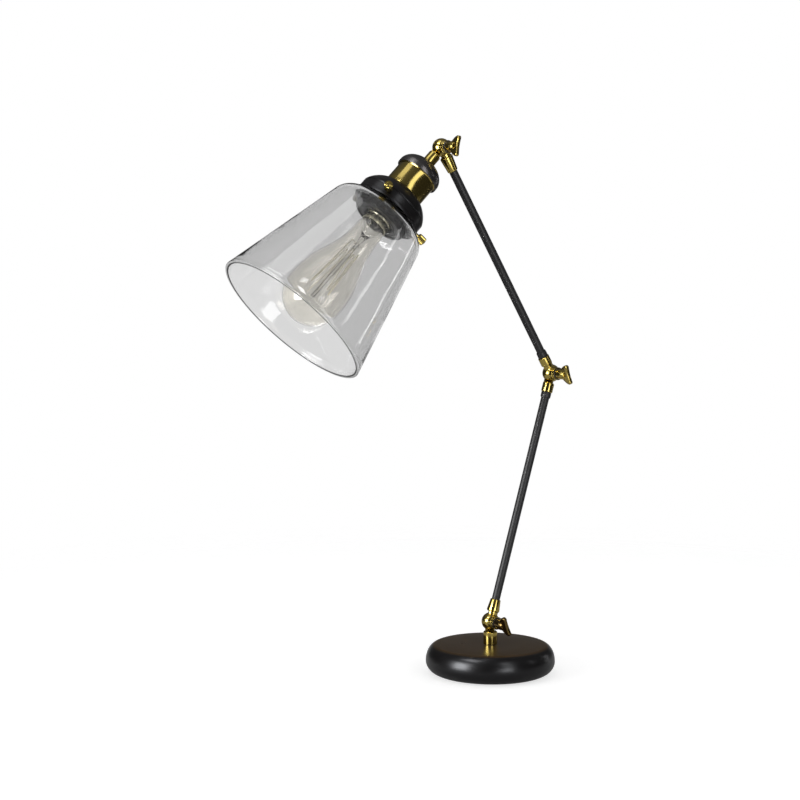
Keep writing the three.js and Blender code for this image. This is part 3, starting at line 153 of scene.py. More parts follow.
class Finish(Net):
    """A material of one principled shader, fed by nodes."""

    def __init__(self, name, **fixed):
        self.material = bpy.data.materials.new(name)
        self.material.use_nodes = True
        super().__init__(self.material.node_tree)
        self.tree.nodes.clear()
        self.shader = self.tree.nodes.new("ShaderNodeBsdfPrincipled")
        self.feed(**fixed)
        output = self.tree.nodes.new("ShaderNodeOutputMaterial")
        self.tree.links.new(self.shader.outputs[0], output.inputs["Surface"])

    def feed(self, **values):
        self.fill(self.shader, {key.replace("_", " "): value for key, value in values.items()})

    def place(self):
        return self.node("ShaderNodeTexCoord", out="Object")

    def noise(self, scale, detail=3.0, roughness=0.5):
        values = {"Vector": self.place(), "Scale": scale, "Detail": detail, "Roughness": roughness}
        return self.node("ShaderNodeTexNoise", values=values)

    def along(self):
        """How far a point is along the outline that its piece was turned from."""
        return self.node("ShaderNodeAttribute", {"attribute_name": "along"}, out="Fac")

    def rings(self, scale):
        values = {"W": self.along(), "Scale": scale, "Detail": 4.0, "Roughness": 0.6}
        return self.node("ShaderNodeTexNoise", {"noise_dimensions": "1D"}, values)

    def blend(self, factor, first, second):
        values = {0: factor, 6: (*first, 1) if isinstance(first, tuple) else first, 7: (*second, 1)}
        return self.node("ShaderNodeMix", {"data_type": "RGBA"}, values, out=2)

    def bump(self, height, depth):
        values = {"Height": height, "Distance": depth, "Strength": 1.0}
        return self.node("ShaderNodeBump", values=values)


def lacquer(name):
    """Black lacquer with a painted brown reflection on the base's flat top, where the light grazes it."""
    made = Finish(name, Specular_IOR_Level=0.34, Specular_Tint=(0.93, 0.95, 1.0, 1), Coat_Roughness=0.2)
    cloud = made.noise(38, 4)
    specks = made.mask(made.noise(2600, 2), 0.66, 0.74)
    height = made.node("ShaderNodeSeparateXYZ", values={0: made.place()}, out="Z")
    # Masks of the base's flat top, where the brown painted reflection goes.
    rise = made.mask(height, (BASE_TOP - 1.7) * MM, (BASE_TOP - 0.2) * MM)
    flat = rise * (1 - made.mask(height, (BASE_TOP + 1.5) * MM, (BASE_TOP + 11.5) * MM))
    colour = made.blend(cloud, (0.0035, 0.0030, 0.0036), (0.0075, 0.0062, 0.0060))
    # Painted reflection: the flat top's colour is mixed towards brown, for what the lacquer mirrors there.
    painted_top_reflection = made.blend(flat * (0.75 + cloud * 0.25), colour, (0.055, 0.030, 0.009))
    made.feed(
        Base_Color=made.blend(specks * 0.2, painted_top_reflection, (0.03, 0.027, 0.026)),
        Roughness=0.25 + cloud * 0.08 + specks * 0.08,
        Coat_Weight=0.06 - specks * 0.05,
        Normal=made.bump(made.noise(1100, 2), 0.000012),
    )
    return made.material


def arc(middle, reach, start, end, steps):
    """Points of an ellipse's arc, from one angle to another in degrees."""
    turns = [math.radians(start + (end - start) * i / steps) for i in range(steps + 1)]
    return [(middle[0] + reach[0] * math.cos(t), middle[1] + reach[1] * math.sin(t)) for t in turns]


def eased(outline, ease, closed=False):
    """The outline with each sharp corner turned into a small curve."""
    made = []
    for i, corner in enumerate(outline):
        here = Vector(corner)
        back = Vector(outline[i - 1]) - here
        ahead = Vector(outline[(i + 1) % len(outline)]) - here
        ends = not closed and i in (0, len(outline) - 1)
        turn = 0 if ends or not back.length or not ahead.length else math.pi - back.angle(ahead)
        if turn < 0.3:
            made.append(tuple(here))
            continue
        trim = min(ease * math.tan(turn / 2), back.length * 0.45, ahead.length * 0.45)
        start = here + back.normalized() * trim
        end = here + ahead.normalized() * trim
        for t in (0, 0.3, 0.7, 1):
            made.append(tuple(start * (1 - t) ** 2 + here * (2 * t * (1 - t)) + end * t * t))
    return made


def spun(outline, place=Matrix.Identity(4), sides=96, ease=0.0):
    """A mesh turned about place's own Z from (radius, height) points in millimetres."""
    closed = outline[0][0] > 0
    if ease:
        outline = eased(outline, ease, closed)
    mesh = bmesh.new()
    along = mesh.verts.layers.float.new("along")
    rings = []
    run = 0
    for i, (radius, height) in enumerate(outline):
        if i:
            run += math.dist(outline[i - 1], outline[i]) * MM
        turns = [math.tau * k / sides for k in range(sides if radius > 1e-6 else 1)]
        spots = [(radius * MM * math.cos(t), radius * MM * math.sin(t), height * MM) for t in turns]
        ring = [mesh.verts.new(spot) for spot in spots]
        for vertex in ring:
            vertex[along] = run
        rings.append(ring)
    for lower, upper in zip(rings, rings[1:] + rings[:1] if closed else rings[1:]):
        for k in range(sides):
            near = (lower[k % len(lower)], lower[(k + 1) % len(lower)])
            far = (upper[(k + 1) % len(upper)], upper[k % len(upper)])
            corners = list(dict.fromkeys((*near, *far)))
            if len(corners) > 2:
                mesh.faces.new(corners)
    bmesh.ops.recalc_face_normals(mesh, faces=mesh.faces)
    mesh.transform(place)
    return mesh


def along_y(x=0.0, z=0.0):
    """Where a shape turned about Z is turned about the world's Y instead, in millimetres."""
    return Matrix.Translation((x * MM, 0, z * MM)) @ Matrix.Rotation(-math.pi / 2, 4, "X")


def link(name, data):
    made = bpy.data.objects.new(name, data)
    bpy.context.scene.collection.objects.link(made)
    return made


def combined(operation, *meshes):
    """The first mesh with the others joined to it or cut from it."""
    parts = []
    for mesh in meshes:
        data = bpy.data.meshes.new("part")
        mesh.to_mesh(data)
        mesh.free()
        parts.append(link("part", data))
    for tool in parts[1:]:
        step = parts[0].modifiers.new("step", "BOOLEAN")
        step.operation = operation
        step.solver = "EXACT"
        step.object = tool
    sight = bpy.context.evaluated_depsgraph_get()
    data = bpy.data.meshes.new_from_object(parts[0].evaluated_get(sight))
    made = bmesh.new()
    made.from_mesh(data)
    bpy.data.meshes.remove(data)
    for part in parts:
        bpy.data.meshes.remove(part.data)
    return made


def piece(name, mesh, finish, body, nodes=(), sharp=32.0):
    """A finished piece that rides on its body and stands for its CAD nodes."""
    data = bpy.data.meshes.new(name)
    mesh.to_mesh(data)
    mesh.free()
    data.polygons.foreach_set("use_smooth", [True] * len(data.polygons))
    data.set_sharp_from_angle(angle=math.radians(sharp))
    data.materials.clear()
    data.materials.append(finish)
    made = link(name, data)
    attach(made, body)
    if nodes:
        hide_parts(*nodes)
    return made


def bun(inset):
    """The cover's rounded side, from its foot up to the edge of the flat top."""
    low = arc(LOW_ARC_MIDDLE, [reach - inset for reach in LOW_ARC_REACH], -90, 0, 16)
    high = arc(HIGH_ARC_MIDDLE, [reach - inset for reach in HIGH_ARC_REACH], 0, 90, 20)
    return low + high[1:]


black_lacquer = lacquer("black_lacquer")
outside = bun(0) + [(FLAT_RADIUS, BASE_TOP), (STEM_HOLE_RADIUS, BASE_TOP)]
ceiling = BASE_TOP - BASE_WALL
inside = [(STEM_HOLE_RADIUS, ceiling), (FLAT_RADIUS, ceiling)] + bun(BASE_WALL)[::-1]
drill = [(0, 57), (CORD_HOLE_RADIUS, 57), (CORD_HOLE_RADIUS, 66), (0, 66)]
cord_hole = spun(drill, along_y(0, BELLY_HEIGHT), 48)
cover = combined("DIFFERENCE", spun(outside + inside, sides=160), cord_hole)
piece("base_cover", cover, black_lacquer, "base", ["base_shell"])

# Base underside
# A moulded rubber pad under a zinc-plated plate, held by three countersunk screws.
# Above them are the iron weight and the threaded tube with its washer and nut.
PAD_RADIUS = 49.1
PAD_THICKNESS = 1.2


def rubber(name):
    made = Finish(name, Specular_IOR_Level=0.3)
    grain = made.noise(900, 4)
    made.feed(
        Base_Color=made.blend(grain, (0.011, 0.011, 0.011), (0.030, 0.029, 0.028)),
        Roughness=0.62 + grain * 0.25,
        Normal=made.bump(grain, 0.0001),
    )
    return made.material


def plated_steel(name):
    made = Finish(name, Metallic=1.0)
    spangle = made.node("ShaderNodeTexVoronoi", values={"Vector": made.place(), "Scale": 420}, out="Color")
    tone = made.node("ShaderNodeSeparateColor", values={"Color": spangle})
    made.feed(
        Base_Color=made.blend(tone, (0.42, 0.42, 0.41), (0.56, 0.56, 0.57)),
        Roughness=0.3 + tone * 0.15,
        Normal=made.bump(made.noise(1500, 3), 0.00002),
    )
    return made.material


def cast_iron(name):
    made = Finish(name, Metallic=0.5)
    pits = made.noise(520, 6, 0.65)
    rust = made.mask(made.noise(70, 4), 0.58, 0.8)
    made.feed(
        Base_Color=made.blend(rust, (0.075, 0.073, 0.072), (0.12, 0.06, 0.035)),
        Roughness=0.68 + pits * 0.2,
        Normal=made.bump(pits, 0.0003),
    )
    return made.material


black_rubber = rubber("black_rubber")
zinc_steel = plated_steel("zinc_steel")
pad_outline = [(0, 0), (PAD_RADIUS, 0), (PAD_RADIUS, PAD_THICKNESS), (0, PAD_THICKNESS)]
pad = spun(pad_outline, sides=128, ease=0.35)
piece("base_pad_moulded", pad, black_rubber, "base", ["base_pad"])


def coat(material, *names):
    """Gives CAD nodes that keep their shape a better material."""
    for name in names:
        node = frame["nodes"][name]
        node.data.materials.clear()
        node.data.materials.append(material)


coat(cast_iron("cast_iron"), "base_weight")
coat(zinc_steel, "base_plate", "base_nipple", "base_nipple_washer", "base_nipple_nut")
coat(zinc_steel, "base_plate_screw_1", "base_plate_screw_2", "base_plate_screw_3")

# Cord bush
# A soft moulded bush with a flange, snapped into the hole in the cover's back.
# Its bore is open for the supply cord.
bush_outline = [(3.2, 59.2), (4.4, 59.2), (4.4, 63.3), (5.8, 63.3), (5.8, 64.7), (3.2, 64.7)]
bush = spun(bush_outline, along_y(0, BELLY_HEIGHT), 64, 0.5)
piece("cord_bush", bush, black_rubber, "base", ["base_cord_grommet"])

# Swivel knuckles
# Turned brass with a lacquered antique finish: each joint has a rear and a front half ball.
# A short link and a post or ferrule leave each half ball in line with its stem, arm or neck.
BALL_RADIUS = 8.7
FACE_GAP = 0.5
SCREW_HOLE_RADIUS = 2.3
RECESS_DEPTH = 5.6
LINK_RADIUS = 5.2
LINK_START = 5
LINK_LENGTH = 5.5
POST_START = 9.6
TUBE_SOCKET_RADIUS = 4.3
TUBE_GRIP = 7
ARM_LENGTH = 250
LOWER_LEAN = 16
UPPER_LEAN = -30
HEAD_LEAN = -135.6
LOWER_FOOT_END = 22
LOWER_TOP_END = 19.2
UPPER_FOOT_END = 19
UPPER_TOP_END = 25


def brass(name, tarnish, bright=(0.48, 0.368, 0.10), dark=(0.12, 0.072, 0.019)):
    made = Finish(name, Metallic=1.0)
    patina = made.noise(60, 4, 0.55)
    dull = made.mask(patina, 0.66 - tarnish * 0.3, 0.98 - tarnish * 0.25)
    lines = made.rings(1900)
    colour = made.blend(dull * (0.3 + tarnish * 0.4), bright, dark)
    made.feed(
        Base_Color=colour,
        Roughness=0.11 + dull * 0.14 + lines * 0.06,
        Normal=made.bump(lines + patina * 0.3, 0.0000006),
    )
    return made.material


def next_pivot(pivot, lean):
    turn = math.radians(lean)
    return (pivot[0] + ARM_LENGTH * math.sin(turn), pivot[1] + ARM_LENGTH * math.cos(turn))


def at(pivot, lean, hanging=False):
    """The frame of a pivot, with +Z along its arm, or along the way back down it."""
    turn = math.radians(lean) + (math.pi if hanging else 0)
    return Matrix.Translation((pivot[0] * MM, 0, pivot[1] * MM)) @ Matrix.Rotation(turn, 4, "Y")


def half_ball(rear):
    """One half of a joint's ball: the rear one has a flat back, the front one a grooved boss."""
    start = math.degrees(math.asin(FACE_GAP / BALL_RADIUS))
    rim = 3.9 if rear else 6.3
    end = math.degrees(math.acos(rim / BALL_RADIUS))
    outline = [(SCREW_HOLE_RADIUS, FACE_GAP)]
    outline += arc((0, 0), (BALL_RADIUS, BALL_RADIUS), start, end, 22)
    if rear:
        outline += [(rim, RECESS_DEPTH), (SCREW_HOLE_RADIUS, RECESS_DEPTH)]
    else:
        outline += [(rim, 9.6), (5.6, 9.8), (5.6, 10.4), (rim, 10.6), (rim, 12.2)]
        outline += [(5.9, 12.6), (SCREW_HOLE_RADIUS, 12.6)]
    side = 1 if rear else -1
    return spun([(radius, depth * side) for radius, depth in outline], along_y(), 80, 0.12)


def half_link(rear):
    """The half round bar between a half ball and its post, flat towards the other half."""
    side = 1 if rear else -1
    mesh = bmesh.new()
    first = math.asin(FACE_GAP / LINK_RADIUS)
    turns = [first + (math.pi - 2 * first) * i / 30 for i in range(31)]
    spots = [(LINK_RADIUS * math.cos(t), LINK_RADIUS * math.sin(t) * side) for t in turns]
    face = mesh.faces.new([mesh.verts.new((x * MM, y * MM, LINK_START * MM)) for x, y in spots])
    pulled = bmesh.ops.extrude_face_region(mesh, geom=[face])
    moved = [v for v in pulled["geom"] if isinstance(v, bmesh.types.BMVert)]
    bmesh.ops.translate(mesh, verts=moved, vec=(0, 0, LINK_LENGTH * MM))
    bmesh.ops.recalc_face_normals(mesh, faces=mesh.faces)
    return mesh


def knuckle(name, rear, post, place, body, node):
    made = combined("UNION", half_ball(rear), half_link(rear), spun(post, sides=80, ease=0.25))
    made.transform(place)
    piece(name, made, antique_brass, body, [node])


def ferrule(radius, tip, end):
    """The outline of a sleeve that holds a tube's end."""
    return [
        (0, POST_START),
        (radius - 0.9, POST_START),
        (radius, POST_START + 0.9),
        (radius, POST_START + 1.8),
        (tip, end - 0.45),
        (tip - 0.45, end),
        (TUBE_SOCKET_RADIUS, end),
        (TUBE_SOCKET_RADIUS, end - TUBE_GRIP),
        (0, end - TUBE_GRIP),
    ]


antique_brass = brass("antique_brass", 0.35)
LOWER_PIVOT = (0, 51)
ELBOW_PIVOT = next_pivot(LOWER_PIVOT, LOWER_LEAN)
HEAD_PIVOT = next_pivot(ELBOW_PIVOT, UPPER_LEAN)
stem_post = [(0, 9.6), (5.9, 9.6), (6.8, 10.5), (6.8, 22.2), (5.2, 22.2), (5.2, 11.9), (0, 11.9)]
neck_post = [(0, 9.6), (5.1, 9.6), (6, 10.5), (6, 21.3), (4.9, 21.3), (4.9, 29.8), (0, 29.8)]
knuckle("stem_knuckle", True, stem_post, at(LOWER_PIVOT, 0, True), "base", "stem")
knuckle("lower_arm_foot", False, ferrule(6.2, 5, LOWER_FOOT_END), at(LOWER_PIVOT, LOWER_LEAN),
        "lower_arm", "lower_arm_foot_knuckle")
knuckle("lower_arm_top", True, ferrule(5.6, 5.6, LOWER_TOP_END), at(ELBOW_PIVOT, LOWER_LEAN, True),
        "lower_arm", "lower_arm_top_knuckle")
knuckle("upper_arm_foot", False, ferrule(5.6, 5.6, UPPER_FOOT_END), at(ELBOW_PIVOT, UPPER_LEAN),
        "upper_arm", "upper_arm_foot_knuckle")
knuckle("upper_arm_top", False, ferrule(6.2, 5, UPPER_TOP_END), at(HEAD_PIVOT, UPPER_LEAN, True),
        "upper_arm", "upper_arm_top_knuckle")
knuckle("head_neck", True, neck_post, at(HEAD_PIVOT, HEAD_LEAN), "head", "head_neck_knuckle")

# Joint hardware
# At each pivot a slotted brass screw goes through both halves, with a black fibre ring between them.
# A bronzed washer and a cast brass wing nut clamp the joint from the front; the lowest nut's brass is
# darkened with painted shade.
SLOT_WIDTH = 1.0
SLOT_FLOOR = 6.9
PADDLE_THICKNESS = 3.8
PADDLE_CORNER = 2.4
PADDLE_DIP = 1.8


def fibre(name):
    made = Finish(name, Specular_IOR_Level=0.24)
    grain = made.noise(2200, 3)
    made.feed(
        Base_Color=made.blend(grain, (0.008, 0.008, 0.008), (0.018, 0.017, 0.016)),
        Roughness=0.24 + grain * 0.16,
        Normal=made.bump(grain, 0.00002),
    )
    return made.material


def bronzed(name):
    made = Finish(name, Metallic=1.0)
    cloud = made.noise(60, 4)
    lines = made.rings(1800)
    made.feed(
        Base_Color=made.blend(cloud, (0.10, 0.095, 0.099), (0.165, 0.156, 0.152)),
        Roughness=0.2 + cloud * 0.1 + lines * 0.08,
        Normal=made.bump(lines, 0.000002),
    )
    return made.material


def plain_block(low, high):
    mesh = bmesh.new()
    bmesh.ops.create_cube(mesh, size=1)
    size = Vector(high) - Vector(low)
    middle = (Vector(high) + Vector(low)) / 2
    mesh.transform(Matrix.Translation(middle * MM) @ Matrix.Diagonal((*(size * MM), 1)))
    return mesh


def slotted_screw():
    outline = [(0, -23.4), (2, -23.4), (2, 5.9), (3.6, 5.9), (3.6, 7.9), (0, 7.9)]
    head = spun(outline, along_y(), 48, 0.3)
    slot = plain_block((-6, SLOT_FLOOR, -SLOT_WIDTH / 2), (6, 10, SLOT_WIDTH / 2))
    return combined("DIFFERENCE", head, slot)


def wing(turn):
    """The wing nut about the pivot, its hub clamping towards +Y and its paddle flaring towards -Y."""
    start, outer, half, waist = 21, 32, 9.7, 5.5
    middle = -(start + outer) / 2
    corner = half - PADDLE_CORNER

    def curve(first, pull, last, steps=8):
        return [
            tuple(Vector(first) * (1 - t) ** 2 + Vector(pull) * (2 * t * (1 - t)) + Vector(last) * t * t)
            for t in (i / steps for i in range(steps))
        ]

    edge = curve((-waist, -start), (-half, middle), (-half, PADDLE_CORNER - outer))
    edge += curve((-half, PADDLE_CORNER - outer), (-half, -outer), (-corner, -outer))
    edge += curve((-corner, -outer), (0, PADDLE_DIP - outer), (corner, -outer))
    edge += curve((corner, -outer), (half, -outer), (half, PADDLE_CORNER - outer))
    edge += curve((half, PADDLE_CORNER - outer), (half, middle), (waist, -start))
    edge += [(waist, -start)]
    paddle = bmesh.new()
    back = -PADDLE_THICKNESS / 2
    face = paddle.faces.new([paddle.verts.new((x * MM, y * MM, back * MM)) for x, y in edge])
    pulled = bmesh.ops.extrude_face_region(paddle, geom=[face])
    moved = [v for v in pulled["geom"] if isinstance(v, bmesh.types.BMVert)]
    bmesh.ops.translate(paddle, verts=moved, vec=(0, 0, PADDLE_THICKNESS * MM))
    bmesh.ops.recalc_face_normals(paddle, faces=paddle.faces)
    rims = [e for e in paddle.edges if e.calc_face_angle(0) > 1.2]
    round_off = PADDLE_THICKNESS / 4 * MM
    bmesh.ops.bevel(paddle, geom=rims, offset=round_off, segments=4, profile=0.5, affect="EDGES")
    hub_outline = [(0, -25.7), (3.6, -25.7), (5.1, -21.7), (5.1, -14.2), (SCREW_HOLE_RADIUS, -14.2)]
    hub_outline += [(SCREW_HOLE_RADIUS, -23.7), (0, -23.7)]
    hub = spun(hub_outline, along_y(), 64, 0.5)
    made = combined("UNION", hub, paddle)
    made.transform(Matrix.Rotation(math.radians(turn), 4, "Y"))
    return made


black_fibre = fibre("black_fibre")
dark_bronze = bronzed("dark_bronze")
# Brass with painted shade: darker colours and a heavier patina, for the lowest wing nut, whose blade faces
# away from the light.
tarnished_brass = brass("tarnished_brass", 0.8, (0.20, 0.135, 0.045), (0.06, 0.035, 0.014))
joints = {"lower": (LOWER_PIVOT, 69), "elbow": (ELBOW_PIVOT, 73), "head": (HEAD_PIVOT, 99)}
for name, (pivot, wing_turn) in joints.items():
    place = at(pivot, 0)
    ring = spun([(6.6, -0.25), (8.4, -0.25), (8.4, 0.25), (6.6, 0.25)], place @ along_y(), 80)
    washer_outline = [(SCREW_HOLE_RADIUS, -13.9), (5.6, -13.9), (5.6, -12.9), (SCREW_HOLE_RADIUS, -12.9)]
    washer = spun(washer_outline, place @ along_y(), 64, 0.25)
    screw = slotted_screw()
    screw.transform(place)
    nut = wing(wing_turn)
    nut.transform(place)
    node = f"{name}_joint_friction_ring"
    piece(f"{name}_fibre_ring", ring, black_fibre, frame["nodes"][node]["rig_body"], [node])
    node = f"{name}_joint_pivot_screw"
    piece(f"{name}_screw", screw, antique_brass, frame["nodes"][node]["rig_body"], [node])
    node = f"{name}_joint_nut_washer"
    piece(f"{name}_washer", washer, dark_bronze, frame["nodes"][node]["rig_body"], [node])
    # The lowest wing nut gets the brass darkened with painted shade.
    cast = tarnished_brass if name == "lower" else antique_brass
    piece(f"{name}_wing_nut_cast", nut, cast, f"{name}_wing_nut", [f"{name}_joint_wing_nut"])

# Arms
# Thin steel tube in a satin black powder coat, pushed into the ferrules at both ends.
# A black collar sits on each tube beside the elbow, and the twin lead runs inside.
TUBE_RADIUS = 4
TUBE_BORE = 3
END_GAP = 0.3


def powder_coat(name):
    made = Finish(name, Specular_IOR_Level=0.37)
    grain = made.noise(3800, 3, 0.6)
    cloud = made.noise(45, 3)
    made.feed(
        Base_Color=made.blend(cloud, (0.014, 0.014, 0.0155), (0.024, 0.0235, 0.025)),
        Roughness=0.4 + cloud * 0.06 + grain * 0.05,
        Normal=made.bump(grain, 0.000001),
    )
    return made.material


def jacket(name):
    made = Finish(name)
    grain = made.noise(1600, 2)
    made.feed(
        Base_Color=made.blend(grain, (0.016, 0.016, 0.016), (0.03, 0.03, 0.03)),
        Roughness=0.4 + grain * 0.2,
        Normal=made.bump(grain, 0.00003),
    )
    return made.material


def tube(near, far, place):
    """A tube between two ferrules that end this far from their pivots."""
    start = near - TUBE_GRIP + END_GAP
    end = ARM_LENGTH - far + TUBE_GRIP - END_GAP
    stations = [start + (end - start) * i / 12 for i in range(13)]
    outline = [(TUBE_BORE, start)] + [(TUBE_RADIUS, s) for s in stations] + [(TUBE_BORE, end)]
    return spun(outline, place, 64, 0.2)


def collar(end, place):
    outline = [(4.3, 0.3), (4.95, 0.3), (4.95, 4.5), (4.62, 5.7), (4.3, 5.7)]
    return spun([(radius, end + height) for radius, height in outline], place, 64, 0.25)


satin_black = powder_coat("satin_black")
coat(jacket("lead_jacket"), "stem_lead", "lower_arm_lead", "upper_arm_lead", "head_lead")
lower_tube = tube(LOWER_FOOT_END, LOWER_TOP_END, at(LOWER_PIVOT, LOWER_LEAN))
upper_tube = tube(UPPER_FOOT_END, UPPER_TOP_END, at(ELBOW_PIVOT, UPPER_LEAN))
lower_collar = collar(LOWER_TOP_END, at(ELBOW_PIVOT, LOWER_LEAN, True))
upper_collar = collar(UPPER_FOOT_END, at(ELBOW_PIVOT, UPPER_LEAN))
piece("lower_tube", lower_tube, satin_black, "lower_arm", ["lower_arm_tube"])
piece("upper_tube", upper_tube, satin_black, "upper_arm", ["upper_arm_tube"])
piece("lower_collar", lower_collar, satin_black, "lower_arm", ["lower_arm_collar"])
piece("upper_collar", upper_collar, satin_black, "upper_arm", ["upper_arm_collar"])

# Socket cap
# A spun cap in dark bronze that a nut inside clamps to the neck's spigot.
# Its straight rim covers the top of the brass barrel.
HEAD = at(HEAD_PIVOT, HEAD_LEAN)
CAP_RADIUS = 22
CAP_INSIDE = 20.9
CAP_SHOULDER = 35.4
CAP_RIM = 38.4


def bezier(start, pull, push, end, steps):
    points = [Vector(p) for p in (start, pull, push, end)]
    made = []
    for i in range(steps + 1):
        t = i / steps
        weights = ((1 - t) ** 3, 3 * t * (1 - t) ** 2, 3 * t * t * (1 - t), t ** 3)
        made.append(tuple(sum((p * w for p, w in zip(points, weights)), Vector((0, 0)))))
    return made


cap_dome = bezier((6.6, 21.6), (14.3, 22.7), (CAP_RADIUS, 28.5), (CAP_RADIUS, CAP_SHOULDER), 24)
cap_under = bezier((7.5, 22.7), (13.2, 23.8), (CAP_INSIDE, 29.6), (CAP_INSIDE, CAP_SHOULDER), 20)
cap_rim = [(CAP_RADIUS, CAP_RIM), (CAP_INSIDE, CAP_RIM)]
cap = spun([(5.2, 21.6)] + cap_dome + cap_rim + cap_under[::-1] + [(5.2, 22.7)], HEAD, 112, 0.3)
piece("socket_cap_spun", cap, dark_bronze, "head", ["socket_cap"])
coat(zinc_steel, "socket_cap_nut")

# Socket barrel
# A straight drawn barrel in a duller brass than the joints, with a bead that seats in the cap.
# The ceramic body with its screw shell and contact is inside, in a black sleeve.
BARREL_RADIUS = 19.8
BARREL_INSIDE = 18.9
BEAD_RADIUS = 20.6
BARREL_START = 36.2
BARREL_END = 60.3


def ceramic(name):
    made = Finish(name, Specular_IOR_Level=0.4)
    grain = made.noise(1400, 3)
    made.feed(
        Base_Color=made.blend(grain, (0.74, 0.72, 0.66), (0.82, 0.80, 0.75)),
        Roughness=0.4 + grain * 0.2,
        Normal=made.bump(grain, 0.00003),
    )
    return made.material


def plated_nickel(name):
    made = Finish(name, Metallic=1.0)
    cloud = made.noise(150, 4)
    made.feed(
        Base_Color=made.blend(cloud, (0.44, 0.41, 0.29), (0.60, 0.57, 0.43)),
        Roughness=0.2 + cloud * 0.15,
        Normal=made.bump(made.noise(1200, 2), 0.00001),
    )
    return made.material


nickel = plated_nickel("nickel")
barrel_outline = [
    (BARREL_INSIDE, BARREL_START), (BEAD_RADIUS, BARREL_START), (BEAD_RADIUS, 38), (BARREL_RADIUS, 38.8),
    (BARREL_RADIUS, 45), (BARREL_RADIUS, 52), (BARREL_RADIUS, BARREL_END), (BARREL_INSIDE, BARREL_END),
]
drawn_brass = brass("drawn_brass", 0.45, (0.375, 0.288, 0.085))
barrel = spun(barrel_outline, HEAD, 112, 0.25)
piece("socket_barrel", barrel, drawn_brass, "head", ["socket_shell"])
coat(ceramic("white_ceramic"), "socket_insulator")
coat(nickel, "socket_screw_shell")
coat(antique_brass, "socket_centre_contact")
coat(black_fibre, "socket_sleeve")

# Shade holder
# A spun steel dome with a straight skirt in black, drilled for the three thumb screws.
# Its dome meets the skirt in a rolled groove.
THUMB_PLACE = 79.6
THUMB_TURNS = (308, 68, 188)
SKIRT_RADIUS = 34.4
GROOVE_RADIUS = 33.95
HEM_RADIUS = 34.9
HEM_END = 85.8
holder_dome = bezier((20.6, 60.6), (27.1, 62.7), (33, 69.8), (SKIRT_RADIUS, 74.4), 24)
holder_under = bezier((21.8, 62), (27.25, 64.8), (31.6, 70.5), (33, 74.4), 20)
groove = [(SKIRT_RADIUS, 74.9), (GROOVE_RADIUS, 75.3), (GROOVE_RADIUS, 75.7), (SKIRT_RADIUS, 76.1)]
hem = [(SKIRT_RADIUS, 82.4), (HEM_RADIUS, 82.9), (HEM_RADIUS, HEM_END), (33, HEM_END)]
holder_outline = [(BARREL_INSIDE, 60.6)] + holder_dome + groove + hem
holder_outline += holder_under[::-1] + [(BARREL_INSIDE, 62)]
drills = []
for turn in THUMB_TURNS:
    drill = spun([(0, 28), (2.2, 28), (2.2, 38), (0, 38)], Matrix.Rotation(math.pi / 2, 4, "Y"), 32)
    drill.transform(Matrix.Translation((0, 0, THUMB_PLACE * MM)))
    drill.transform(HEAD @ Matrix.Rotation(math.radians(turn), 4, "Z"))
    drills.append(drill)
holder = combined("DIFFERENCE", spun(holder_outline, HEAD, 128, 0.3), *drills)
piece("shade_cap", holder, black_lacquer, "head", ["shade_holder"])

# Ring nut
# A glossy black moulded nut that clamps the holder to the socket from inside the glass.
# Its flange has grip ribs all round, which one node tree spaces evenly.
RIBS = 40
RIB_RADIUS = 0.8
RIB_START = 91
RIB_LENGTH = 4.6
FLANGE_RADIUS = 27.3


class Pattern(Net):
    """A tree of geometry nodes with named inputs, which makes a plain mesh."""

    def __init__(self, name, **inputs):
        super().__init__(bpy.data.node_groups.new(name, "GeometryNodeTree"))
        self.sockets = {}
        inputs["Material"] = "Material"
        for label, kind in inputs.items():
            made = self.tree.interface.new_socket(label, in_out="INPUT", socket_type="NodeSocket" + kind)
            self.sockets[label] = made.identifier
        self.tree.interface.new_socket("Geometry", in_out="OUTPUT", socket_type="NodeSocketGeometry")
        given = self.tree.nodes.new("NodeGroupInput")
        self.given = {label: Wire(self, given.outputs[label]) for label in inputs}

    def maths(self, operation, first, second=0.0):
        return self.node("ShaderNodeMath", {"operation": operation}, {0: first, 1: second})

    def index(self):
        return self.node("GeometryNodeInputIndex")

    def spot(self, **parts):
        return self.node("ShaderNodeCombineXYZ", values=parts)

    def swept(self, path, thickness, sides):
        """A round wire or rod along a path."""
        ring = {"Resolution": sides, "Radius": thickness}
        section = self.node("GeometryNodeCurvePrimitiveCircle", values=ring)
        values = {"Curve": path, "Profile Curve": section, "Fill Caps": True}
        return self.node("GeometryNodeCurveToMesh", values=values)

    def finish(self, geometry):
        real = self.node("GeometryNodeRealizeInstances", values={0: geometry})
        done = self.node("GeometryNodeSetMaterial", values={0: real, "Material": self.given["Material"]})
        output = self.tree.nodes.new("NodeGroupOutput")
        self.tree.links.new(done.socket, output.inputs[0])

    def grown(self, **values):
        """The plain mesh that the tree makes of these inputs."""
        seed = link("seed", bpy.data.meshes.new("seed"))
        step = seed.modifiers.new("nodes", "NODES")
        step.node_group = self.tree
        for label, value in values.items():
            step[self.sockets[label]] = value
        data = bpy.data.meshes.new_from_object(seed.evaluated_get(bpy.context.evaluated_depsgraph_get()))
        seed.modifiers.remove(step)
        bpy.data.meshes.remove(seed.data)
        mesh = bmesh.new()
        mesh.from_mesh(data)
        bpy.data.meshes.remove(data)
        bmesh.ops.remove_doubles(mesh, verts=mesh.verts, dist=1e-7)
        bmesh.ops.recalc_face_normals(mesh, faces=mesh.faces)
        return mesh


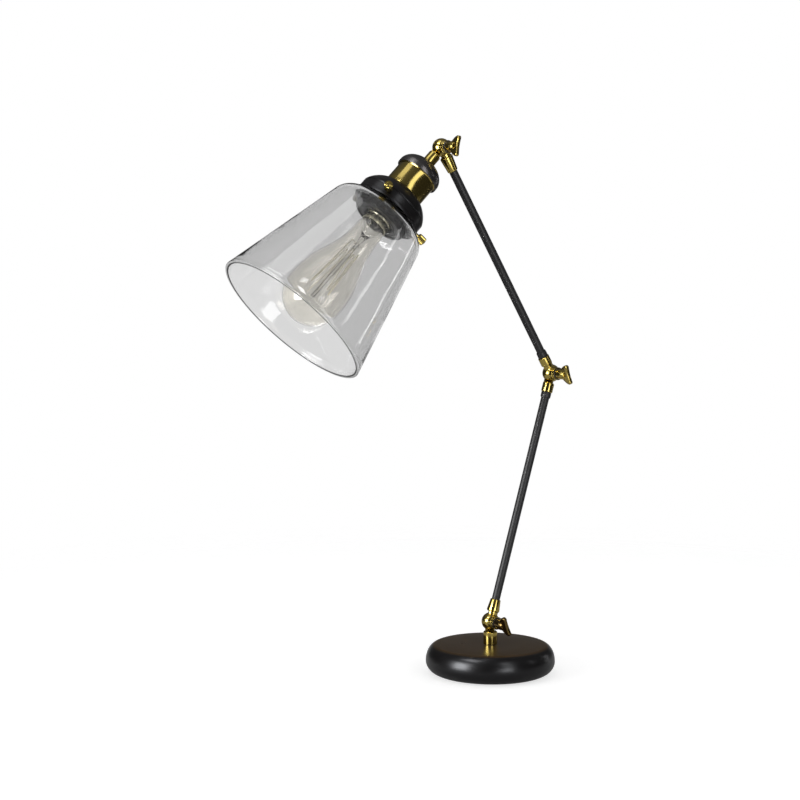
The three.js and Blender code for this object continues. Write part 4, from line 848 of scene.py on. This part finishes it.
def grip_ribs():
    """A ring of upright round ribs."""
    tree = Pattern("grip_ribs", Radius="Float", Start="Float", Length="Float", Ribs="Int",
                   Thickness="Float")
    given = tree.given
    turn = tree.index() * math.tau / given["Ribs"]
    spot = tree.spot(
        X=given["Radius"] * tree.maths("COSINE", turn), Y=given["Radius"] * tree.maths("SINE", turn),
        Z=given["Start"])
    points = tree.node("GeometryNodeMeshLine", values={"Count": given["Ribs"], "Offset": (0, 0, 0)})
    ring = tree.node("GeometryNodeSetPosition", values={"Geometry": points, "Position": spot})
    values = {"Start": (0, 0, 0), "End": tree.spot(Z=given["Length"])}
    rib = tree.swept(tree.node("GeometryNodeCurvePrimitiveLine", values=values), given["Thickness"], 12)
    tree.finish(tree.node("GeometryNodeInstanceOnPoints", values={"Points": ring, "Instance": rib}))
    return tree


ring_outline = [
    (BARREL_INSIDE, 62.3), (21.5, 62.3), (21.5, 90.4), (FLANGE_RADIUS - 0.5, 90.4),
    (FLANGE_RADIUS - 0.5, 96), (25.6, 97.2), (23.4, 97.2), (22.9, 96.6), (18.6, 96.6), (18.1, 97.2),
    (16.4, 97.2), (15.2, 96), (15.2, 92.6), (BARREL_INSIDE, 92.6),
]
ribs = grip_ribs().grown(
    Radius=(FLANGE_RADIUS - RIB_RADIUS) * MM, Start=RIB_START * MM, Length=RIB_LENGTH * MM, Ribs=RIBS,
    Thickness=RIB_RADIUS * MM, Material=black_fibre)
ribs.transform(HEAD)
ring_nut = combined("UNION", spun(ring_outline, HEAD, 96, 0.4), ribs)
piece("ring_nut", ring_nut, black_fibre, "head", ["shade_ring_nut"])

# Thumb screws
# Three knurled brass screws through the skirt, on whose ends the glass's lip hangs.
# The knurled heads come from one node tree, whose ridges are evenly spaced.
HEAD_START = 38.6
HEAD_LENGTH = 7.9
HEAD_RADIUS = 4.1
RIDGES = 22
RIDGE_DEPTH = 0.35
SHANK_START = 30.5
SHANK_END = 39.2
SHANK_RADIUS = 1.9


def knurled_heads():
    """A straight knurled head along +Z, from the origin, with both its ends eased."""
    tree = Pattern("knurled_head", Radius="Float", Length="Float", Depth="Float", Ridges="Int")
    radius = tree.given["Radius"]
    points = tree.maths("MULTIPLY", tree.given["Ridges"], 2.0)
    ring = tree.node("GeometryNodeCurvePrimitiveCircle", values={"Resolution": points, "Radius": 1.0})
    shrink = 1 - (tree.index() % 2) * (tree.given["Depth"] / radius)
    here = tree.node("GeometryNodeInputPosition")
    pulled = tree.node("ShaderNodeVectorMath", {"operation": "SCALE"}, {"Vector": here, "Scale": shrink})
    ribbed = tree.node("GeometryNodeSetPosition", values={"Geometry": ring, "Position": pulled})
    end = tree.spot(Z=tree.given["Length"])
    spine = tree.node("GeometryNodeCurvePrimitiveLine", values={"Start": (0, 0, 0), "End": end})
    spine = tree.node("GeometryNodeResampleCurve", values={"Curve": spine, "Count": 21})
    middle = tree.maths("ABSOLUTE", tree.node("GeometryNodeSplineParameter") * 2 - 1)
    swell = radius * (1 - tree.maths("POWER", middle, 14.0) * 0.16)
    values = {"Curve": spine, "Profile Curve": ribbed, "Scale": swell, "Fill Caps": True}
    tree.finish(tree.node("GeometryNodeCurveToMesh", values=values))
    return tree


knurling = knurled_heads()
for number, turn in enumerate(THUMB_TURNS, 1):
    head = knurling.grown(
        Radius=HEAD_RADIUS * MM, Length=HEAD_LENGTH * MM, Depth=RIDGE_DEPTH * MM, Ridges=RIDGES,
        Material=antique_brass)
    head.transform(Matrix.Translation((0, 0, HEAD_START * MM)))
    shank = [(0, SHANK_START), (SHANK_RADIUS, SHANK_START), (SHANK_RADIUS, SHANK_END), (0, SHANK_END)]
    shank = spun(shank, sides=40, ease=0.2)
    button = spun([(0, 45.8), (2.3, 45.8), (2.3, 46.8), (1.5, 47.2), (0, 47.2)], sides=40, ease=0.2)
    screw = combined("UNION", head, shank, button)
    screw.transform(Matrix.Rotation(math.pi / 2, 4, "Y"))
    screw.transform(Matrix.Translation((0, 0, THUMB_PLACE * MM)))
    screw.transform(HEAD @ Matrix.Rotation(math.radians(turn), 4, "Z"))
    piece(f"thumb_screw_{number}_knurled", screw, antique_brass, f"thumb_screw_{number}",
          [f"shade_thumb_screw_{number}"])

# Glass shade
# Blown clear glass: a lip that hangs on the screws, a round shoulder and a long flared cone.
# The mouth's face is ground matt with a painted shade line along its inner edge, and the wall is slightly
# uneven.
NECK_RADIUS = 30.2
NECK_INSIDE = 27.6
GLASS_NECK_END = 84
CONE_START = 99.6
CONE_RADIUS = 49.2
CONE_WALL = 2.0
RIM_WALL = 3.8
MOUTH = 223.7
MOUTH_RADIUS = 77.6


def clear_glass(name, tint, waves):
    """Glass of a tint for each surface crossed, with slow waves of a given depth."""
    made = Finish(name, Transmission_Weight=1.0, IOR=1.46)
    uneven = made.noise(16, 2)
    made.feed(
        Base_Color=made.blend(uneven, tint, tuple(0.985 * part for part in tint)),
        Roughness=0.0 + uneven * 0.01,
        Normal=made.bump(made.noise(26, 1), waves),
    )
    return made


def ground(made, start, middle, end):
    """The glass with a matt band between two places along its outline, with painted shade from the middle
    on.
    """
    begin = made.mask(made.along(), start * MM, (start + 0.3) * MM)
    band = begin * (1 - made.mask(made.along(), (end - 0.3) * MM, end * MM))
    clear = made.shader
    made.shader = made.tree.nodes.new("ShaderNodeBsdfPrincipled")
    grit = made.noise(2400, 3)
    # Painted shade: from the middle on, the band's colour turns near black, a dark line at the rim's inner
    # edge.
    shade = made.mask(made.along(), (middle - 0.15) * MM, (middle + 0.15) * MM)
    pale = made.blend(grit, (0.52, 0.52, 0.52), (0.68, 0.68, 0.68))
    made.feed(
        Base_Color=made.blend(shade, pale, (0.05, 0.05, 0.05)),
        Roughness=0.45 + grit * 0.2,
        Normal=made.bump(grit, 0.00002),
    )
    values = {0: band, 1: Wire(made, clear.outputs[0]), 2: Wire(made, made.shader.outputs[0])}
    both = made.node("ShaderNodeMixShader", values=values)
    made.tree.links.new(both.socket, made.tree.nodes["Material Output"].inputs["Surface"])
    return made.material


def wall_points(start, end):
    """Nine points between the ends of a straight wall."""
    return [tuple(Vector(start).lerp(Vector(end), i / 10)) for i in range(1, 10)]


def run_to(outline, spot):
    """How far along an outline a spot of it is, in millimetres."""
    stop = outline.index(spot)
    return sum(math.dist(outline[i - 1], outline[i]) for i in range(1, stop + 1))


shoulder_end = (CONE_RADIUS, CONE_START)
shoulder = bezier((NECK_RADIUS, GLASS_NECK_END), (32.1, 87.8), (45.4, 87.8), shoulder_end, 22)
hollow_end = (CONE_RADIUS - CONE_WALL, CONE_START + 1)
hollow = bezier((NECK_INSIDE, 85.9), (29.5, 90.6), (43.6, 89.2), hollow_end, 22)
lip = [
    (NECK_INSIDE, 85.9), (NECK_INSIDE, 74.8), (31.9, 74.8), (31.9, 77.4), (NECK_RADIUS, 77.6),
    (NECK_RADIUS, GLASS_NECK_END),
]
lip = eased(lip, 0.7)
outer_corner = (MOUTH_RADIUS - 0.45, MOUTH)
painted_shade_start = (MOUTH_RADIUS - 2.1, MOUTH)
inner_corner = (MOUTH_RADIUS - RIM_WALL + 0.5, MOUTH)
mouth_edge = [
    (MOUTH_RADIUS - 0.1, MOUTH - 1.2), (MOUTH_RADIUS, MOUTH - 0.45), outer_corner, painted_shade_start, inner_corner,
    (MOUTH_RADIUS - RIM_WALL + 0.25, MOUTH - 0.3), (MOUTH_RADIUS - RIM_WALL, MOUTH - 1.1),
    (MOUTH_RADIUS - RIM_WALL + 0.1, MOUTH - 2.2), (MOUTH_RADIUS - 2.9, MOUTH - 4.2),
    (MOUTH_RADIUS - CONE_WALL - 1.9, MOUTH - 8.2),
]
outer_cone = wall_points(shoulder[-1], mouth_edge[0])
inner_cone = wall_points(mouth_edge[-1], hollow[-1])
glass_outline = lip + shoulder[1:] + outer_cone + mouth_edge + inner_cone + hollow[:0:-1]
# The shade's glass is clear; its grey tint of 0.71 is painted shade for the darker surroundings seen
# through it.
shade_glass = ground(
    clear_glass("shade_glass", (0.71, 0.71, 0.71), 0.0006),
    run_to(glass_outline, outer_corner) - 0.3, run_to(glass_outline, painted_shade_start),
    run_to(glass_outline, inner_corner) + 0.5,
)
shade = spun(glass_outline, HEAD, 160)
piece("shade_blown", shade, shade_glass, "head", ["glass_shade"], 60)

# Bulb
# A large clear filament bulb of thin glass with a faint amber tint, in a nickel-plated screw cap.
# A glass flare and rod stand inside it and carry the filament on thin wire spokes.
THROAT_RADIUS = 13.8
BELLY_RADIUS = 29
BELLY_PLACE = 191.6
THREAD_START = 82.4
THREAD_LENGTH = 16.4
THREAD_PITCH = 3.2
THREAD_RADIUS = 12.9
THREAD_DEPTH = 0.3
NEAR = 128
FAR = 196
NEAR_REACH = 7
FAR_REACH = 12
CORNERS = 10


def bulb_side(inset):
    """The bulb's glass from its seal in the cap to its tip."""
    throat, belly = THROAT_RADIUS - inset, BELLY_RADIUS - inset
    flare = bezier((throat, 109), (throat, 150.3), (belly, 150.3), (belly, BELLY_PLACE), 30)
    tip = arc((0, BELLY_PLACE), (belly, belly), 0, 90, 24)
    seal = [(12.2 - inset, 101), (12.2 - inset, 104.3)]
    return seal + flare + tip[1:-1] + [(0, BELLY_PLACE + belly)]


bulb_tint = clear_glass("bulb_glass", (0.955, 0.94, 0.90), 0.0003).material
bulb = spun(bulb_side(0) + bulb_side(0.9)[::-1], HEAD, 112)
piece("bulb_blown", bulb, bulb_tint, "head", ["bulb_glass"], 60)
thread = []
for i in range(61):
    climb = i * THREAD_LENGTH / 60
    ridge = THREAD_DEPTH * math.sin(math.tau * climb / THREAD_PITCH)
    thread.append((THREAD_RADIUS + ridge, THREAD_START + climb))
cap_shape = (
    [(9, 81.4), (11.9, 81.4)] + thread + [(13.2, 99.4), (13.2, 104), (12.5, 104), (12.5, 100.7)]
    + [(11.9, 100.1), (11.9, 82), (9, 82)]
)
piece("bulb_screw_cap", spun(cap_shape, HEAD, 80), nickel, "head", ["bulb_cap"])
coat(black_fibre, "bulb_cap_glass")
coat(nickel, "bulb_contact")
mount_glass = clear_glass("mount_glass", (0.93, 0.93, 0.92), 0.0002).material
flare_side = bezier((11, 101.9), (11, 112.95), (2.6, 112.95), (2.6, 124), 16)
flare_hollow = bezier((0, 116), (1.7, 115.1), (10.1, 108.95), (10.1, 101.9), 16)
rod = [(1.7, 125.7), (1.7, 196.2), (1.2, 197), (0, 197)]
mount = spun(flare_hollow + flare_side + rod, HEAD, 48)
piece("bulb_mount_rod", mount, mount_glass, "head", ["bulb_mount"], 60)


def carbon(name):
    made = Finish(name)
    cloud = made.noise(700, 3)
    # Painted highlight: the strands are coloured pale, near white, for the glints that the thin wire
    # catches.
    made.feed(
        Base_Color=made.blend(cloud, (0.78, 0.72, 0.54), (0.97, 0.93, 0.80)),
        Roughness=0.35 + cloud * 0.2,
    )
    return made.material


def zigzag_wires():
    """One wire that runs to and fro between two rings of points, with rounded corners."""
    tree = Pattern("zigzag_wire", Near_Radius="Float", Far_Radius="Float", Near_Height="Float",
                   Far_Height="Float", Corners="Int", Thickness="Float")
    given = tree.given
    path = tree.node("GeometryNodeCurvePrimitiveLine")
    path = tree.node("GeometryNodeResampleCurve", values={"Curve": path, "Count": given["Corners"]})
    far = tree.index() % 2
    turn = tree.index() * math.tau / given["Corners"]
    reach = given["Near_Radius"] + far * (given["Far_Radius"] - given["Near_Radius"])
    height = given["Near_Height"] + far * (given["Far_Height"] - given["Near_Height"])
    across = reach * tree.maths("COSINE", turn)
    aside = reach * tree.maths("SINE", turn)
    corner = tree.spot(X=across, Y=aside, Z=height)
    path = tree.node("GeometryNodeSetPosition", values={"Geometry": path, "Position": corner})
    values = {"Curve": path, "Radius": 0.9 * MM, "Count": 5, "Limit Radius": True}
    path = tree.node("GeometryNodeFilletCurve", {"mode": "POLY"}, values)
    tree.finish(tree.swept(path, given["Thickness"], 8))
    return tree


def spoke_rings():
    """A ring of thin straight spokes at one height, from the rod outwards."""
    tree = Pattern("spoke_ring", Start="Float", Reach="Float", Height="Float", First_Turn="Float",
                   Spokes="Int", Thickness="Float")
    given = tree.given
    ring = tree.node("GeometryNodeMeshLine", values={"Count": given["Spokes"], "Offset": (0, 0, 0)})
    turn = given["First_Turn"] + tree.index() * math.tau / given["Spokes"]
    values = {"Start": tree.spot(X=given["Start"]), "End": tree.spot(X=given["Reach"])}
    spoke = tree.swept(tree.node("GeometryNodeCurvePrimitiveLine", values=values), given["Thickness"], 8)
    values = {"Geometry": ring, "Position": tree.spot(Z=given["Height"])}
    lifted = tree.node("GeometryNodeSetPosition", values=values)
    values = {"Points": lifted, "Instance": spoke, "Rotation": tree.spot(Z=turn)}
    tree.finish(tree.node("GeometryNodeInstanceOnPoints", values=values))
    return tree


filament_carbon = carbon("filament_carbon")
filament = zigzag_wires().grown(
    Near_Radius=NEAR_REACH * MM, Far_Radius=FAR_REACH * MM, Near_Height=NEAR * MM, Far_Height=FAR * MM,
    Corners=CORNERS, Thickness=0.42 * MM, Material=filament_carbon)
filament.transform(HEAD)
piece("filament_wire", filament, filament_carbon, "head", ["bulb_filament"], 60)
spoke_ring = spoke_rings()
for name, height, first, reach in (("near", NEAR, 0, NEAR_REACH), ("far", FAR, 1, FAR_REACH)):
    support = spoke_ring.grown(
        Start=1.5 * MM, Reach=(reach - 0.5) * MM, Height=height * MM, First_Turn=first * math.tau / CORNERS,
        Spokes=5, Thickness=0.22 * MM, Material=filament_carbon)
    support.transform(HEAD)
    piece(f"spokes_{name}", support, filament_carbon, "head", [f"bulb_support_{name}"], 60)

# Floor
# A plain white floor that fades into the white air before its edge.
# It keeps the lamp's shadow; glass sees it as the camera does, and mirrors see only a small share of its
# glow.
FLOOR_RADIUS = 1.0
FLOOR_GLOW = 0.68
MIRRORED_SHARE = 0.05
floor_mesh = bmesh.new()
bmesh.ops.create_circle(floor_mesh, cap_ends=True, segments=96, radius=FLOOR_RADIUS)
floor_data = bpy.data.meshes.new("floor")
floor_mesh.to_mesh(floor_data)
floor_mesh.free()
floor_paint = Finish("floor_paint", Roughness=0.9, Specular_IOR_Level=0.0)
floor_paint.feed(Base_Color=(0.55, 0.55, 0.55, 1), Emission_Color=(1, 1, 1, 1))
clear, mirror = floor_paint.rays()
floor_paint.feed(Emission_Strength=(clear + (1 - clear) * mirror * MIRRORED_SHARE) * FLOOR_GLOW)
reach = floor_paint.node("ShaderNodeVectorMath", {"operation": "LENGTH"}, {0: floor_paint.place()}, "Value")
edge = floor_paint.mask(reach, FLOOR_RADIUS * 0.6, FLOOR_RADIUS * 0.98)
floor_paint.feed(Alpha=1 - edge)
floor_data.materials.append(floor_paint.material)
floor = link("floor", floor_data)

# Air
# Camera and glass see plain white all round, and soft white air lights the lamp.
# Mirrors see the white backdrop behind the lamp, and a darker room elsewhere.
air = bpy.data.worlds.new("air")
air.use_nodes = True
bpy.context.scene.world = air
BACKDROP = (0.4797, 0.8774, 0.0)
BACKDROP_LIGHT = 0.5
SOFT_AIR = 0.45
ROOM = 0.045

sky = Net(air.node_tree)
towards = sky.node("ShaderNodeTexCoord", out="Generated")
aside = sky.node("ShaderNodeVectorMath", {"operation": "DOT_PRODUCT"}, {0: towards, 1: BACKDROP}, "Value")
height = sky.node("ShaderNodeSeparateXYZ", values={0: towards}, out="Z")
backdrop = sky.mask(aside, 0.86, 0.96) * (1 - sky.mask(height, 0.05, 0.15)) * BACKDROP_LIGHT
room = ROOM + sky.mask(height, 0.2, 1.0) * 0.15
mirrored = room + backdrop * (1 - room)
clear, mirror = sky.rays()
lighting = mirror * mirrored + (1 - mirror) * SOFT_AIR
strength = clear + (1 - clear) * lighting
sky.fill(air.node_tree.nodes["Background"], {"Color": (1, 1, 1, 1), "Strength": strength})

# Lamps
# Two tall soft windows left and right of the camera, and a ceiling panel above.
# Two narrow strips on the right draw the long lines in the glass, and only mirrors and glass see the
# three bright panes. Each row is a turn from the camera's side, distance, height, width, height and light.
LAMP_AIM = Vector((-0.02, 0, 0.35))
for name, turn, distance, height, width, tall, brightness in (
    ("window_left", -57, 1.6, 0.53, 1.0, 0.95, 3.2),
    ("window_right", 29, 1.6, 0.75, 0.45, 1.5, 3.0),
    ("ceiling", -60, 0.55, 2.0, 0.8, 0.7, 1.6),
    ("strip_right", 80, 1.3, 0.58, 0.08, 0.36, 3.0),
    ("strip_behind", 120, 1.3, 0.25, 0.06, 0.6, 4.0),
    ("pane_left_high", -50, 1.3, 1.77, 0.85, 0.45, 11.0),
    ("pane_left_low", -56, 1.5, 0.42, 0.65, 0.75, 14.0),
    ("pane_right_low", 24, 1.5, 0.0, 0.6, 0.6, 5.0),
):
    light = bpy.data.lights.new(name, "AREA")
    light.shape = "RECTANGLE"
    light.size = width
    light.size_y = tall
    light.energy = brightness * math.pi * width * tall
    lamp = link(name, light)
    bearing = math.atan2(-BACKDROP[1], -BACKDROP[0]) + math.radians(turn)
    lamp.location = (distance * math.cos(bearing), distance * math.sin(bearing), height)
    lamp.rotation_mode = "QUATERNION"
    lamp.rotation_quaternion = (LAMP_AIM - lamp.location).to_track_quat("-Z", "Y")
    lamp.visible_diffuse = not name.startswith("pane")

bpy.context.scene.view_settings.view_transform = "Standard"
